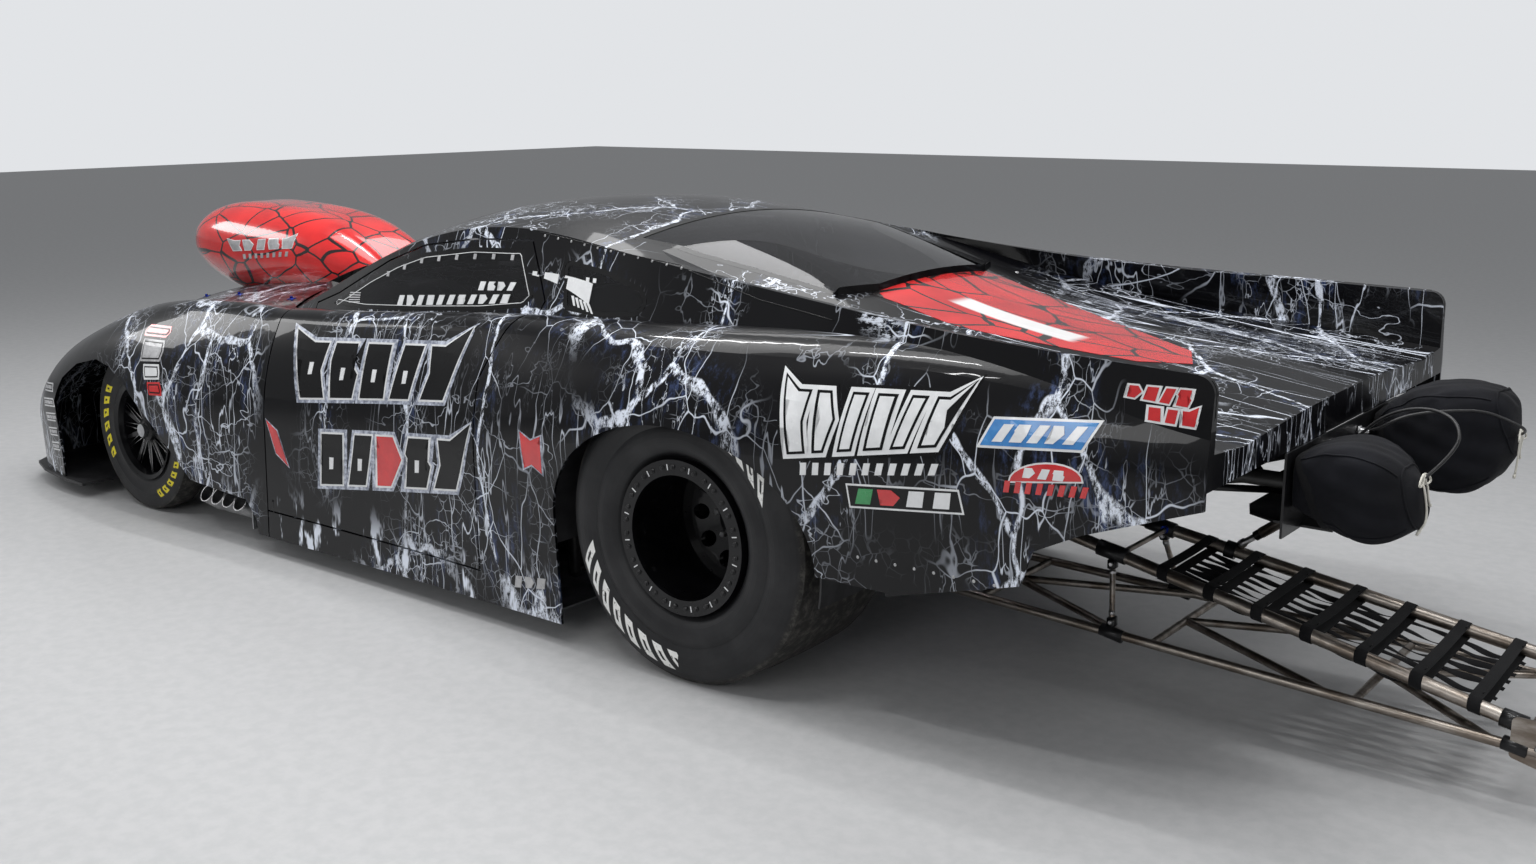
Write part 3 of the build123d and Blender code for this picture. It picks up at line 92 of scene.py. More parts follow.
# Node graphs
class Graph:
    """A material's node tree with short calls for its nodes."""

    def __init__(self, name):
        self.material = bpy.data.materials.new(name)
        self.material.use_nodes = True
        self.tree = self.material.node_tree
        self.shader = self.tree.nodes["Principled BSDF"]
        self.coords = self.add("ShaderNodeTexCoord").outputs["Object"]

    def add(self, kind, inputs=(), **settings):
        """A new node with its settings, and a value or a link in each of the inputs given."""
        node = self.tree.nodes.new(kind)
        for key, value in settings.items():
            setattr(node, key, value)
        for key, value in dict(inputs).items():
            self.put(node.inputs[key], value)
        return node

    def put(self, socket, value):
        if isinstance(value, bpy.types.NodeSocket):
            self.tree.links.new(value, socket)
        else:
            socket.default_value = value

    def math(self, operation, *values, clamp=False):
        return self.add("ShaderNodeMath", enumerate(values), operation=operation,
                        use_clamp=clamp).outputs[0]

    def mul(self, first, *more):
        for value in more:
            first = self.math("MULTIPLY", first, value)
        return first

    def most(self, first, *more):
        for value in more:
            first = self.math("MAXIMUM", first, value)
        return first

    def step(self, value, low, high):
        """0 below low, 1 above high, smooth between; low above high turns it round."""
        turned = low > high
        inputs = {"Value": value, "From Min": min(low, high), "From Max": max(low, high),
                  "To Min": float(turned), "To Max": float(not turned)}
        return self.add("ShaderNodeMapRange", inputs,
                        interpolation_type="SMOOTHSTEP").outputs["Result"]

    def noise(self, scale, detail=3.0, roughness=0.5, where=None):
        inputs = {"Vector": where or self.coords, "Scale": scale, "Detail": detail,
                  "Roughness": roughness}
        return self.add("ShaderNodeTexNoise", inputs).outputs["Fac"]

    def cells(self, scale, where=None):
        """The distance to the nearest border between cells."""
        inputs = {"Vector": where or self.coords, "Scale": scale}
        return self.add("ShaderNodeTexVoronoi", inputs,
                        feature="DISTANCE_TO_EDGE").outputs["Distance"]

    def mapped(self, scale=(1, 1, 1), move=(0, 0, 0), turn=(0, 0, 0), where=None):
        inputs = {"Vector": where or self.coords, "Location": move, "Rotation": turn,
                  "Scale": scale}
        return self.add("ShaderNodeMapping", inputs).outputs["Vector"]

    def vector(self, operation, inputs):
        return self.add("ShaderNodeVectorMath", inputs, operation=operation).outputs[0]

    def warped(self, amount, scale, where=None, detail=2.0):
        """Coordinates pushed about by a noise of that scale."""
        where = where or self.coords
        noise = self.add("ShaderNodeTexNoise", {"Vector": where, "Scale": scale, "Detail": detail})
        centred = self.vector("SUBTRACT", {0: noise.outputs["Color"], 1: (0.5, 0.5, 0.5)})
        scaled = self.vector("SCALE", {0: centred, "Scale": amount})
        return self.vector("ADD", {0: where, 1: scaled})

    def cloud(self, size, low, high, detail=2.0, roughness=0.5, **place):
        """A noise stepped between two values; place may stretch, move or turn it."""
        where = self.mapped(**place) if place else None
        return self.step(self.noise(size, detail, roughness, where), low, high)

    def ridges(self, size, width, detail=4.0, **place):
        """Thin meandering lines: where a noise crosses its middle value."""
        noise = self.noise(size, detail, 0.55, self.mapped(**place))
        away = self.math("ABSOLUTE", self.math("SUBTRACT", noise, 0.5))
        return self.step(away, width, width * 0.25)

    def split(self, where=None):
        return self.add("ShaderNodeSeparateXYZ", {0: where or self.coords}).outputs[:3]

    def mix(self, factor, a, b):
        a, b = (v if isinstance(v, bpy.types.NodeSocket) else (*v, 1.0) for v in (a, b))
        return self.add("ShaderNodeMix", {"Factor": factor, "A": a, "B": b},
                        data_type="RGBA").outputs["Result"]

    def bump(self, height, strength, distance=0.001, under=None):
        node = self.add("ShaderNodeBump", {"Height": height, "Strength": strength,
                                           "Distance": distance})
        if under is not None:
            self.put(node.inputs["Normal"], under)
        self.put(self.shader.inputs["Normal"], node.outputs["Normal"])
        return node.outputs["Normal"]

    def set(self, **values):
        for key, value in values.items():
            name = key.replace("_", " ").title().replace("Ior", "IOR")
            if name == "Base Color" and not isinstance(value, bpy.types.NodeSocket):
                value = (*value, 1.0)
            self.put(self.shader.inputs[name], value)


PAINT_DARK = (0.0012, 0.0012, 0.0020)
PAINT_LINE = (0.78, 0.83, 0.93)
PAINT_HAZE = (0.10, 0.15, 0.34)
DECK_HALF_W = 0.815


def black_paint():
    """Near-black gloss with pale branching lines: trunks with fine lines and haze about them,
    strands and splashes that run down, and long sweeps on the tail's deck."""
    g = Graph("paint_black")
    x, y, z = g.split()
    tall = g.mapped(scale=(1.0, 1.0, 0.55), turn=(0.0, 0.35, 0.0))
    border = g.cells(1.9, g.warped(0.22, 2.6, tall, 3.0))
    width = g.math("MULTIPLY_ADD", g.noise(6.0, 3.0, 0.6), 0.042, -0.012)
    trunk = g.mul(g.step(g.math("SUBTRACT", border, width), 0.007, 0.0),
                  g.cloud(55.0, 0.42, 0.56, 5.0, 0.8, scale=(1, 1, 0.4)))
    near = g.step(border, 0.22, 0.02)
    fine = g.step(g.cells(6.5, g.warped(0.06, 9.0, g.warped(0.10, 3.0, tall))), 0.012, 0.003)
    hatch = g.step(g.cells(26.0, g.warped(0.02, 24.0)), 0.040, 0.010)
    strand_a = g.ridges(8.5, 0.0085, 3.0, scale=(1.0, 1.0, 0.16), turn=(0.0, 0.12, 0.0))
    strand_b = g.ridges(14.0, 0.0075, scale=(1.0, 1.0, 0.22), turn=(0.0, -0.2, 0.0))
    bolt = g.ridges(4.5, 0.0045, scale=(0.5, 1.0, 1.0), turn=(0, 0.9, 0))
    patch_a = g.cloud(1.9, 0.42, 0.60, move=(3.1, 0, 0))
    patch_b = g.mul(g.cloud(3.1, 0.46, 0.62, move=(7.7, 2, 1)), near)
    crowd = g.most(g.step(z, 0.62, 0.20), patch_b)
    hatch = g.mul(hatch, crowd, g.cloud(7.0, 0.44, 0.58))
    strands = g.most(g.mul(strand_a, patch_a), g.mul(strand_b, patch_b))
    quiet = g.most(g.cloud(1.15, 0.36, 0.46, 1.0, move=(1.3, 4.0, 2.0)), g.step(x, -1.0, -1.5))
    lines = g.most(trunk, g.mul(fine, near, 0.85), g.mul(hatch, 0.5), g.mul(strands, 0.8),
                   g.mul(bolt, patch_a, 0.7))
    splash = g.mul(g.step(z, 0.30, 0.12), g.cloud(9.0, 0.56, 0.62, 4.0, 0.7, scale=(1, 1, 0.3)))
    inner = g.step(g.math("ABSOLUTE", y), DECK_HALF_W, DECK_HALF_W - 0.020)
    deck = g.mul(inner, g.step(x, REAR_X - 0.25, REAR_X - 0.55))
    lip = g.mul(inner, g.step(x, TAIL_X + 0.010, TAIL_X + 0.004))
    sweep_a = g.ridges(5.0, 0.0050, 2.0, scale=(0.10, 1.0, 0.3), turn=(0, 0, 0.22))
    sweep_b = g.ridges(9.0, 0.0055, 2.0, scale=(0.12, 1.0, 0.3), turn=(0, 0, -0.3))
    knot = g.mul(g.cloud(3.1, 0.60, 0.68, move=(2, 5, 0)),
                 g.cloud(38.0, 0.49, 0.57, 4.0, 0.8, scale=(0.35, 1, 1)))
    sweeps = g.most(g.mul(sweep_a, 0.9), g.mul(knot, 0.8),
                    g.mul(sweep_b, g.cloud(2.3, 0.47, 0.60, scale=(0.6, 1, 1)), 0.8))
    drips = g.mul(g.most(strand_a, strand_b), g.cloud(4.0, 0.46, 0.58))
    lines = g.most(g.mul(lines, quiet), splash, g.mul(drips, lip),
                   g.mul(sweeps, deck, g.math("SUBTRACT", 1.0, lip)))
    haze = g.mul(g.step(border, 0.14, 0.0), quiet, 0.75,
                 g.cloud(30.0, 0.50, 0.78, 5.0, 0.75, scale=(1, 1, 0.3)))
    colour = g.mix(lines, g.mix(haze, PAINT_DARK, PAINT_HAZE), PAINT_LINE)
    g.set(base_color=colour, roughness=0.30, coat_roughness=0.03, coat_ior=1.42,
          coat_weight=g.math("MULTIPLY_ADD", deck, -0.33, 0.55), specular_ior_level=0.12)
    g.bump(g.noise(260.0, 2.0), 0.03, 0.0004)
    return g.material


def red_paint():
    """Gloss red with thin dark lines between plain cells."""
    g = Graph("paint_red")
    drift = g.warped(0.03, 5.0)
    tiles = g.cells(8.5, g.mapped(scale=(0.62, 1.0, 1.0), where=drift))
    line = g.step(tiles, 0.034, 0.022)
    red = g.mix(g.step(g.noise(5.0), 0.3, 0.75), (0.56, 0.010, 0.012), (0.78, 0.022, 0.020))
    colour = g.mix(line, red, (0.010, 0.006, 0.007))
    g.set(base_color=colour, roughness=0.2, coat_weight=1.0, coat_roughness=0.02)
    g.bump(g.noise(240.0, 2.0), 0.05, 0.0004)
    return g.material


def red_panel():
    """Gloss red film with thin black lines that run mostly lengthwise, and a pale streak of painted
    highlight.
    """
    g = Graph("red_panel")
    drift = g.warped(0.03, 6.0)
    tiles = g.cells(9.0, g.mapped(scale=(0.55, 1.0, 1.0), turn=(0, 0, 0.3), where=drift))
    line = g.step(tiles, 0.040, 0.026)
    x, y, _ = g.split(g.mapped(turn=(0, 0, 0.12)))
    # Painted highlight: a pale lengthwise streak painted into the colour where a lamp's reflection
    # lies on the panel.
    painted_highlight = g.mul(g.step(g.math("ABSOLUTE", g.math("ADD", y, 0.02)), 0.050, 0.036),
                   g.step(x, -1.72, -1.68), g.step(x, -1.27, -1.31))
    red = g.mix(g.step(g.noise(5.0), 0.3, 0.75), (0.50, 0.008, 0.010), (0.72, 0.018, 0.018))
    colour = g.mix(line, red, (0.006, 0.004, 0.004))
    colour = g.mix(painted_highlight, colour, (0.85, 0.84, 0.84))
    g.set(base_color=colour, roughness=0.25, coat_weight=0.8, coat_roughness=0.02)
    g.bump(g.noise(240.0, 2.0), 0.03, 0.0004)
    return g.material


def tyre_rubber(name, centre, radius, marks, colour):
    """Rubber with a scuffed tread and rows of plain slanted marks on its sides."""
    g = Graph(name)
    x, _, z = g.split(g.mapped(move=(-centre[0], 0.0, -centre[2])))
    r = g.math("SQRT", g.math("ADD", g.mul(x, x), g.mul(z, z)))
    angle = g.math("ARCTAN2", z, x)
    tread = g.step(r, radius - 0.022, radius - 0.010)
    wear = g.noise(38.0, 6.0, 0.7, g.warped(0.02, 30.0))
    dust = g.noise(9.0, 4.0, 0.6)
    side = g.mix(g.step(dust, 0.35, 0.75), (0.0085, 0.0088, 0.0100), (0.0200, 0.0200, 0.0215))
    worn = g.mix(g.step(wear, 0.42, 0.72), (0.020, 0.019, 0.018), (0.085, 0.080, 0.072))
    base = g.mix(tread, side, worn)
    rows = []
    for start, end, count, r_low, r_high, lean in marks:
        span = end - start
        turned = g.math("WRAP", g.math("SUBTRACT", angle, start), 2 * math.pi, 0.0)
        leaned = g.math("MULTIPLY_ADD", g.math("SUBTRACT", r, r_low), lean, turned)
        part = g.math("FRACT", g.mul(leaned, count / span))
        away = g.math("ABSOLUTE", g.math("SUBTRACT", r, (r_low + r_high) / 2))
        hole = g.mul(g.step(part, 0.32, 0.36), g.step(part, 0.54, 0.50),
                     g.math("LESS_THAN", away, (r_high - r_low) / 5))
        bar = g.mul(g.step(part, 0.10, 0.14), g.step(part, 0.74, 0.70))
        rows.append(g.mul(g.math("SUBTRACT", bar, hole, clamp=True),
                          g.math("GREATER_THAN", r, r_low), g.math("LESS_THAN", r, r_high),
                          g.math("GREATER_THAN", leaned, 0.0), g.math("LESS_THAN", leaned, span)))
    printed = g.mul(g.most(*rows), g.step(g.noise(60.0, 4.0, 0.7), 0.28, 0.45))
    g.set(base_color=g.mix(printed, base, colour),
          roughness=g.math("MULTIPLY_ADD", tread, 0.25, 0.50), specular_ior_level=0.35)
    groove = g.math("SINE", g.mul(r, 420.0))
    first = g.bump(g.mul(g.step(groove, 0.55, 0.95), g.step(tread, 1.0, 0.0)), 0.25, 0.0006)
    g.bump(g.noise(240.0, 4.0, 0.7), 0.35, 0.0006, under=first)
    return g.material


def simple(name, low, high, roughness, metallic=0.0, scale=14.0, grain=180.0, strength=0.2,
           stretch=(1, 1, 1), **more):
    """A material that varies between two colours, with a fine grain in its surface."""
    g = Graph(name)
    space = g.mapped(scale=stretch)
    blotch = g.noise(scale, 4.0, 0.6, space)
    g.set(base_color=g.mix(g.step(blotch, 0.32, 0.72), low, high), metallic=metallic,
          roughness=g.math("MULTIPLY_ADD", g.noise(scale * 3, 3.0, 0.6, space), 0.16,
                           roughness - 0.08), **more)
    g.bump(g.noise(grain, 3.0, 0.6, space), strength, 0.0005)
    return g.material


def film(name, low, high, roughness, coat, strength=0.05, **more):
    """A smooth film under a clear coat."""
    return simple("decal_" + name, low, high, roughness, strength=strength, coat_weight=coat,
                  **more)


def smoked_glass():
    """Clear dark glass with a very slight wave."""
    g = Graph("smoked_glass")
    g.set(base_color=(0.16, 0.16, 0.175), roughness=0.015, ior=1.45, transmission_weight=1.0,
          specular_ior_level=0.6)
    g.bump(g.noise(3.0, 2.0), 0.03, 0.004)
    return g.material


def woven(name, low, high, pitch, roughness=0.85):
    """A plain weave of two thread directions."""
    g = Graph(name)
    x, y, z = g.split()
    k = 2 * math.pi / pitch
    warp = g.math("SINE", g.mul(g.math("ADD", x, g.mul(y, 0.3)), k))
    weft = g.math("SINE", g.mul(g.math("ADD", z, g.mul(y, 0.7)), k))
    base = g.mix(g.step(g.noise(6.0, 4.0, 0.6), 0.3, 0.7), low, high)
    g.set(base_color=base, roughness=roughness, sheen_weight=0.03, specular_ior_level=0.18)
    g.bump(g.mul(warp, weft), 0.4, 0.0005)
    return g.material


PAINT = black_paint()
RED = red_paint()
GLASS = smoked_glass()
# Rows of tyre marks: start and end angle, how many, inner and outer radius, lean
REAR_MARKS = [(1.45, 2.75, 8, 0.335, 0.385, 4.0), (4.72, 6.15, 8, 0.335, 0.390, 3.0)]
FRONT_MARKS = [(-0.55, 0.75, 6, 0.246, 0.280, 2.0), (2.95, 4.45, 8, 0.246, 0.280, 2.0)]
REAR_HUB = Vector((REAR_X, 0, REAR_TYRE_R))
FRONT_HUB = Vector((FRONT_X, 0, FRONT_TYRE_R))
REAR_RUBBER = tyre_rubber("rear_rubber", REAR_HUB, REAR_TYRE_R, REAR_MARKS, (0.80, 0.80, 0.78))
FRONT_RUBBER = tyre_rubber("front_rubber", FRONT_HUB, FRONT_TYRE_R, FRONT_MARKS,
                           (0.78, 0.66, 0.03))
COMPOSITE = simple("black_composite", (0.010, 0.010, 0.011), (0.026, 0.026, 0.028), 0.5)
SATIN_BLACK = simple("satin_black", (0.004, 0.004, 0.005), (0.012, 0.012, 0.013), 0.38,
                     coat_weight=0.25, specular_ior_level=0.3)
TUBE_BLACK = simple("tube_black", (0.010, 0.010, 0.010), (0.030, 0.029, 0.028), 0.42)
BARE_STEEL = simple("bare_steel", (0.20, 0.165, 0.135), (0.46, 0.42, 0.38), 0.36, 1.0,
                    scale=9.0, stretch=(1, 3, 3))
BRIGHT_STEEL = simple("bright_steel", (0.38, 0.38, 0.39), (0.62, 0.62, 0.62), 0.30, 1.0)
ALUMINIUM = simple("aluminium", (0.45, 0.46, 0.47), (0.66, 0.67, 0.68), 0.36, 1.0, grain=400)
SHEET_METAL = simple("sheet_metal", (0.32, 0.33, 0.34), (0.48, 0.49, 0.50), 0.42, 1.0)
BLUE_ANODISED = simple("blue_anodised", (0.012, 0.025, 0.20), (0.02, 0.05, 0.36), 0.3, 1.0)
RIM_BLACK = simple("rim_black", (0.0015, 0.0015, 0.002), (0.005, 0.005, 0.006), 0.3,
                   coat_weight=0.35, specular_ior_level=0.2)
CAST = simple("cast_block", (0.16, 0.16, 0.165), (0.30, 0.30, 0.305), 0.55, 0.8, strength=0.5)
WEBBING = woven("webbing", (0.004, 0.004, 0.005), (0.011, 0.011, 0.012), 0.0035)
BAG_CLOTH = woven("bag_cloth", (0.0030, 0.0032, 0.0050), (0.0075, 0.0080, 0.0115), 0.0022, 0.8)
TIE_CORD = woven("tie_cord", (0.62, 0.60, 0.53), (0.85, 0.83, 0.76), 0.0016, 0.9)
SLEEVE = simple("cable_sleeve", (0.010, 0.010, 0.011), (0.024, 0.024, 0.026), 0.4)
SOLID_TYRE = simple("solid_tyre", (0.010, 0.010, 0.011), (0.030, 0.029, 0.028), 0.6)
WHITE = film("white", (0.70, 0.71, 0.72), (0.82, 0.83, 0.84), 0.25, 0.8)
BLACK = film("black", (0.0010, 0.0010, 0.0014), (0.0022, 0.0022, 0.0028), 0.3, 0.5,
             strength=0.03, coat_roughness=0.03, specular_ior_level=0.12)
DECAL_RED = film("red", (0.52, 0.012, 0.016), (0.66, 0.02, 0.022), 0.2, 1.0)
DECAL_BLUE = film("blue", (0.02, 0.16, 0.45), (0.05, 0.26, 0.60), 0.25, 0.8)
DECAL_GREEN = film("green", (0.02, 0.22, 0.06), (0.03, 0.30, 0.09), 0.25, 0.8)
GREY_FILM = film("grey", (0.34, 0.34, 0.35), (0.50, 0.50, 0.51), 0.28, 0.6)
GLOW = film("glow", (0.16, 0.18, 0.24), (0.62, 0.66, 0.76), 0.3, 0.6, scale=60.0)
RED_PANEL = red_panel()

SLOT_MATERIALS = {
    "paint_black": PAINT, "paint_red": RED, "black_composite": COMPOSITE,
    "sheet_aluminium": SHEET_METAL, "frame_tube": TUBE_BLACK, "smoked_glass": GLASS,
    "machined_aluminium": ALUMINIUM, "bright_steel": BRIGHT_STEEL, "cast_block": CAST,
    "bare_steel": BARE_STEEL, "matt_black": SATIN_BLACK, "webbing": WEBBING,
    "black_metal": SATIN_BLACK, "bag_fabric": BAG_CLOTH, "cable_sleeve": SLEEVE,
    "solid_tyre": SOLID_TYRE, "black_wheel": RIM_BLACK, "tyre": REAR_RUBBER,
}
slots = {part["node"]: part["material_slot"] for part in frame["record"]["subparts"]}
for name, node in nodes.items():
    node.data.materials.clear()
    node.data.materials.append(SLOT_MATERIALS[slots[name]])
for name in ("front_tyre_left", "front_tyre_right"):
    nodes[name].data.materials[0] = FRONT_RUBBER
nodes["header_pipes"].data.materials[0] = BRIGHT_STEEL


# Forms
def face_tree(mesh):
    """A search tree of a mesh's faces."""
    return BVHTree.FromPolygons([v.co.copy() for v in mesh.vertices],
                                [list(f.vertices) for f in mesh.polygons])


def surface(name):
    """A search tree of a CAD piece's faces."""
    return face_tree(nodes[name].data)


def heading(places, i, closed):
    """The direction of a run of places at one of them."""
    if closed:
        return (places[(i + 1) % len(places)] - places[i - 1]).normalized()
    return (places[min(i + 1, len(places) - 1)] - places[max(i - 1, 0)]).normalized()


def around(centre, side, other, radius, count):
    """Points set evenly on a circle in the plane of two directions."""
    turns = [2 * math.pi * k / count for k in range(count)]
    return [centre + (side * math.cos(t) + other * math.sin(t)) * radius for t in turns]


class Parts:
    """Small closed forms gathered into one mesh."""

    def __init__(self):
        self.points, self.faces = [], []

    def loops(self, rings, closed=False):
        """A skin over rings of equally many points; its ends are capped unless it's closed."""
        start, count = len(self.points), len(rings[0])
        for ring in rings:
            self.points += [Vector(p) for p in ring]
        last = len(rings)
        for i in range(last if closed else last - 1):
            a, b = start + i * count, start + (i + 1) % last * count
            for j in range(count):
                k = (j + 1) % count
                self.faces.append((a + j, a + k, b + k, b + j))
        if not closed:
            self.faces.append(tuple(start + j for j in reversed(range(count))))
            self.faces.append(tuple(start + (last - 1) * count + j for j in range(count)))

    def turned(self, centre, axis, outline, sides=16):
        """A round form: outline is (distance along the axis, radius) pairs."""
        axis = Vector(axis).normalized()
        side = axis.orthogonal().normalized()
        other = axis.cross(side)
        self.loops([around(Vector(centre) + axis * along, side, other, radius, sides)
                    for along, radius in outline])

    def tube(self, places, radius, sides=8, closed=False):
        """A round rod or hose through the places."""
        places = [Vector(p) for p in places]
        radii = radius if isinstance(radius, list) else [radius] * len(places)
        rings, side = [], None
        for i, place in enumerate(places):
            way = heading(places, i, closed)
            side = (side - way * side.dot(way)) if side else way.orthogonal()
            side.normalize()
            rings.append(around(place, side, way.cross(side), radii[i], sides))
        self.loops(rings, closed)

    def band(self, places, across, width, thickness, closed=False):
        """A flat strap through the places, with its edges rounded off."""
        places = [Vector(p) for p in places]
        rings = []
        for i, place in enumerate(places):
            wide = Vector(across[i] if isinstance(across, list) else across).normalized()
            up_way = heading(places, i, closed).cross(wide).normalized()
            half, edge = width / 2, thickness * 0.7
            profile = ((half, 0.0), (half - edge, 0.5), (-half + edge, 0.5), (-half, 0.0),
                       (-half + edge, -0.5), (half - edge, -0.5))
            rings.append([place + wide * u + up_way * (v * thickness) for u, v in profile])
        self.loops(rings, closed)

    def block(self, centre, half, axes):
        """A box with chamfered edges; axes are its own three directions."""
        edge = min(half) * 0.25
        rings = []
        for along, cut in ((-half[0], edge), (-half[0] + edge, 0.0), (half[0] - edge, 0.0),
                           (half[0], edge)):
            u, v = half[1] - cut, half[2] - cut
            corner = edge * 0.7
            ring = []
            for a, b in ((u, -v + corner), (u, v - corner), (u - corner, v), (-u + corner, v),
                         (-u, v - corner), (-u, -v + corner), (-u + corner, -v),
                         (u - corner, -v)):
                ring.append(Vector(centre) + axes[0] * along + axes[1] * a + axes[2] * b)
            rings.append(ring)
        self.loops(rings)

    def make(self, name, material, body="chassis", smooth=True):
        """Adds the gathered forms to the scene as one piece that rides a body."""
        mesh = bpy.data.meshes.new(name)
        mesh.from_pydata([tuple(p) for p in self.points], [], self.faces)
        grid = bmesh.new()
        grid.from_mesh(mesh)
        bmesh.ops.recalc_face_normals(grid, faces=grid.faces)
        grid.to_mesh(mesh)
        grid.free()
        mesh.materials.append(material)
        piece = linked(name, mesh)
        if smooth:
            for face in mesh.polygons:
                face.use_smooth = len(face.vertices) == 4
        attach(piece, body)
        return piece


FAR = 3.0
FILM_LIFT = 0.0012
FILM_GRID = 0.035


def sliced(film, order, grid):
    """Cuts flat faces along even lines both ways, so that they can follow a curved surface."""
    for k in (0, 1):
        values = [v.co[order[k]] for v in film.verts]
        normal = Vector((0, 0, 0))
        normal[order[k]] = 1.0
        value = math.ceil(min(values) / grid) * grid
        while value < max(values):
            bmesh.ops.bisect_plane(film, geom=film.verts[:] + film.edges[:] + film.faces[:],
                                   plane_co=normal * value, plane_no=normal)
            value += grid


def decal(name, outlines, material, body, tree, side=1, lift=FILM_LIFT, axis="y", grid=FILM_GRID):
    """Thin film on a surface: outlines in the side or plan view, laid onto the tree."""
    order = {"y": (0, 2, 1), "z": (0, 1, 2)}[axis]
    ray = Vector((0, 0, 0))
    ray[order[2]] = -side
    film = bmesh.new()
    for outline in outlines:
        corners = []
        for u, v in outline:
            place = [0.0, 0.0, 0.0]
            for k, value in zip(order, (REAR_X + u, v, FAR * side)):
                place[k] = value
            corners.append(film.verts.new(place))
        film.faces.new(corners)
    bmesh.ops.triangulate(film, faces=film.faces[:])
    sliced(film, order, grid)
    lost, normals = [], {}
    for vert in film.verts:
        hit, normal, _, _ = tree.ray_cast(vert.co, ray)
        if hit is None:
            lost.append(vert)
            continue
        if normal.dot(ray) > 0:
            normal = -normal
        vert.co = hit + normal * 0.0002
        normals[vert] = normal
    bmesh.ops.delete(film, geom=lost, context="VERTS")
    under = {tuple(round(c, 6) for c in v.co): normals[v] for v in film.verts}
    raised = bmesh.ops.extrude_face_region(film, geom=film.faces[:], use_keep_orig=True)
    for item in raised["geom"]:
        if isinstance(item, bmesh.types.BMVert):
            item.co += under[tuple(round(c, 6) for c in item.co)] * lift
    bmesh.ops.recalc_face_normals(film, faces=film.faces)
    mesh = bpy.data.meshes.new(name)
    film.to_mesh(mesh)
    film.free()
    mesh.materials.append(material)
    piece = linked(name, mesh)
    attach(piece, body)


def patch(corners, shapes):
    """Outlines given on a unit square, laid between four corners (top front first)."""
    a, b, c, d = (Vector(p) for p in corners)
    return [[tuple(a.lerp(b, u).lerp(d.lerp(c, u), v)) for u, v in shape] for shape in shapes]


TRIM_PITCH = 0.02
SHORTEST_RIM = 0.25


def trim(name, node, body, width, material, inward, lift, toward):
    """A flat frame round the outer face of a glass piece, for each of its separate panes."""
    source = bmesh.new()
    source.from_mesh(nodes[node].data)
    bmesh.ops.remove_doubles(source, verts=source.verts[:], dist=0.0002)
    inner_faces = [f for f in source.faces if f.normal.dot(toward(f.calc_center_median())) <= 0.3]
    bmesh.ops.delete(source, geom=inner_faces, context="FACES")
    bmesh.ops.recalc_face_normals(source, faces=source.faces)
    edges = {e for e in source.edges if len(e.link_faces) == 1}
    parts = Parts()
    while edges:
        edge = edges.pop()
        loop, vert = [edge.verts[0]], edge.verts[1]
        faces = [edge.link_faces[0]]
        while vert is not loop[0]:
            loop.append(vert)
            following = [e for e in vert.link_edges if e in edges]
            if not following:
                break
            edges.discard(following[0])
            faces.append(following[0].link_faces[0])
            vert = following[0].other_vert(vert)
        places = [v.co.copy() for v in loop]
        if len(places) < 8:
            continue
        normals = [f.normal.copy() for f in faces]
        total = [0.0]
        for a, b in zip(places, places[1:] + places[:1]):
            total.append(total[-1] + (b - a).length)
        if total[-1] < SHORTEST_RIM:
            continue
        count = max(24, int(total[-1] / TRIM_PITCH))
        even, facing, k = [], [], 0
        for i in range(count):
            reach = total[-1] * i / count
            while total[k + 1] < reach:
                k += 1
            share = (reach - total[k]) / max(total[k + 1] - total[k], 1e-9)
            even.append(places[k].lerp(places[(k + 1) % len(places)], share))
            facing.append(normals[min(k, len(normals) - 1)])
        centre = sum(even, Vector((0, 0, 0))) / count
        rings = []
        for i, place in enumerate(even):
            normal = facing[i]
            if normal.dot(toward(place)) < 0:
                normal = -normal
            way = (even[(i + 2) % count] - even[i - 2]).normalized()
            inner = normal.cross(way).normalized()
            if inner.dot(centre - place) < 0:
                inner = -inner
            a, b = place + inner * inward, place + inner * (inward + width)
            up_lift = normal * lift
            rings.append([a, a + up_lift, b + up_lift, b])
        parts.loops(rings, closed=True)
    source.free()
    parts.make(name, material, body, smooth=False)


# Wheelie bar: straps, ribbons, collars and rod ends
def bar_y(x):
    return 0.25 - (x + 2.1) * 0.078


def bar_z(x):
    return 0.18 + (x + 2.1) * 0.18


def upper_bar(x, side):
    return at(x, side * bar_y(x), bar_z(x))


def lower_bar(x, side):
    return at(x, side * (0.262 - (x + 2.1) * 0.03), 0.137 + (x + 2.1) * 0.036)


BAR_ALONG = Vector((1, 0, 0.18)).normalized()
UPPER_R, LOWER_R = 0.0185, 0.0135
STRAP_R, STRAP_W, STRAP_T, STRAP_PITCH = 0.0199, 0.031, 0.0024, 0.137
RIBBON_W, RIBBON_T, RIBBON_DROP = 0.025, 0.0018, 0.0245
BRACE_R = 0.0095
strap_places = [-1.106 - STRAP_PITCH * i for i in range(7)]
random.seed(4)


